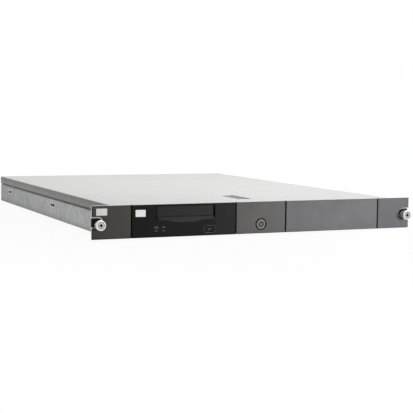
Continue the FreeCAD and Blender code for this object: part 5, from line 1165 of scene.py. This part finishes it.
button_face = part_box("power_button")[0].y / MM
sweep = np.radians(np.linspace(*OPEN_RING, 59))
arc = flat_path(np.cos(sweep), np.sin(sweep))
ring = stripe_skin(SIGN_R * arc, arc, SIGN_STROKE)
bar = stripe_skin(flat_path(0.0, np.linspace(*UPRIGHT_BAR, 5)), flat_path(np.ones(5), 0.0), SIGN_STROKE)
power_sign = copies(joined_skins(ring, bar), [(0, button_face, BUTTON_Z)])
piece("power_sign", power_sign, "power", "button_grey", coat="sign_print")

# %% Lamp signs
LAMP_STROKE, LAMP_SIGN_Z = 0.5, 13.3
CARTRIDGE_X, CARTRIDGE_WIDTH, CARTRIDGE_HEIGHT, CARTRIDGE_CORNER = -153.5, 4.6, 2.1, 0.4
WAVE_X, WAVE_HALF, WAVE_HIGH = -143.4, 2.3, 0.8
outward = flat_path(np.cos(round_turns()), np.sin(round_turns()))
outline = rounded(CARTRIDGE_WIDTH, CARTRIDGE_HEIGHT, CARTRIDGE_CORNER)
cartridge = stripe_skin(outline, outward, LAMP_STROKE, closed=True)
across = np.linspace(-WAVE_HALF, WAVE_HALF, 47)
swing = WAVE_HIGH * np.sin(TURN * across / WAVE_HALF)
beside = flat_path(-np.gradient(swing, across), 1.0)
beside /= np.linalg.norm(beside, axis=1, keepdims=True)
wave = stripe_skin(flat_path(across, swing), beside, LAMP_STROKE)
lamp_marks = joined_skins(
    copies(cartridge, [(CARTRIDGE_X, DRIVE_FACE, LAMP_SIGN_Z)]),
    copies(wave, [(WAVE_X, DRIVE_FACE, LAMP_SIGN_Z)]),
)
piece("lamp_marks", lamp_marks, "chassis", "drive_black", coat="lamp_print")

# %% [markdown]
# Bead round the eject button
#
# A low moulded bead runs round the oval eject button, so that a finger finds it without looking. Its relief
# catches the light from any side, and its pale coat is a painted highlight that shows it as a light ring
# against the black. The bead reuses the collar's formula with a flat profile.

# %% Eject bead
EJECT_WIDTH, EJECT_HEIGHT, EJECT_GAP = 15.6, 7.4, 0.7
BEAD = [(0.0, 0.1), (0.0, -0.08), (0.12, -0.22), (0.35, -0.28), (0.6, -0.22), (0.75, -0.06), (0.75, 0.1)]
bead = collar_skin((EJECT_WIDTH - EJECT_HEIGHT) / 2, EJECT_HEIGHT / 2 + EJECT_GAP, BEAD)
# The turn that sends +Y to -X also sends +X to +Y, so the bead's depth then runs into the front
eject_bead = copies(aimed(bead, "-X"), [(EJECT_X, DRIVE_FACE, EJECT_Z)])
# The bead's pale coat is a painted highlight
piece("eject_bead", eject_bead, "chassis", "drive_black", coat="pale_print_and_highlight")

# %% Eject sign
TRIANGLE_WIDTH, TRIANGLE_HEIGHT, TRIANGLE_FOOT = 3.6, 1.75, -0.35
BAR_HALF, BAR_THICK, BAR_Z = 1.8, 0.6, -1.05
eject_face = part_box("eject_button")[0].y / MM
rise = np.linspace(0.0, 1.0, 6)
narrowing = flat_path(TRIANGLE_WIDTH * (1 - rise) + 0.05, 0.0)
triangle = stripe_skin(flat_path(0.0, TRIANGLE_FOOT + TRIANGLE_HEIGHT * rise), narrowing, 1.0)
level_line = flat_path(np.linspace(-BAR_HALF, BAR_HALF, 5), BAR_Z)
bar = stripe_skin(level_line, flat_path(0.0, np.ones(5)), BAR_THICK)
eject_sign = copies(joined_skins(triangle, bar), [(EJECT_X, eject_face, EJECT_Z)])
piece("eject_sign", eject_sign, "eject", "eject_black", coat="pale_print_and_highlight")

# %% [markdown]
# Port contacts
#
# Each data port at the back has a tongue with gilded contact strips above and below. Sixty thin strips to a
# port could be drawn one by one; copied from one small bar of a few faces, they stay light.

# %% Contact strips
CONTACTS, CONTACT_PITCH, CONTACT_Z = 30, 1.27, 1.33
CONTACT_ENDS = PORT_REAR + np.array([0.65, 3.45])
STRIP_HALF_WIDTH, STRIP_HALF_THICK = 0.35, 0.07
round_strip = flat_path([-1, 1, 1, -1], [-1, -1, 1, 1]) * (STRIP_HALF_WIDTH, 1.0, STRIP_HALF_THICK)
strip = skin(CONTACT_ENDS[:, None, None] * np.array([0, 1.0, 0]) + round_strip)
steps = (np.arange(CONTACTS) - (CONTACTS - 1) / 2) * CONTACT_PITCH
ports = (PORT_MIDDLE - PORT_HALF_PITCH, PORT_MIDDLE + PORT_HALF_PITCH)
spots = [(x + along, 0, PORT_Z + z) for x in ports for along in steps for z in (-CONTACT_Z, CONTACT_Z)]
piece("port_contacts", copies(strip, spots), "chassis", "pin_brass")
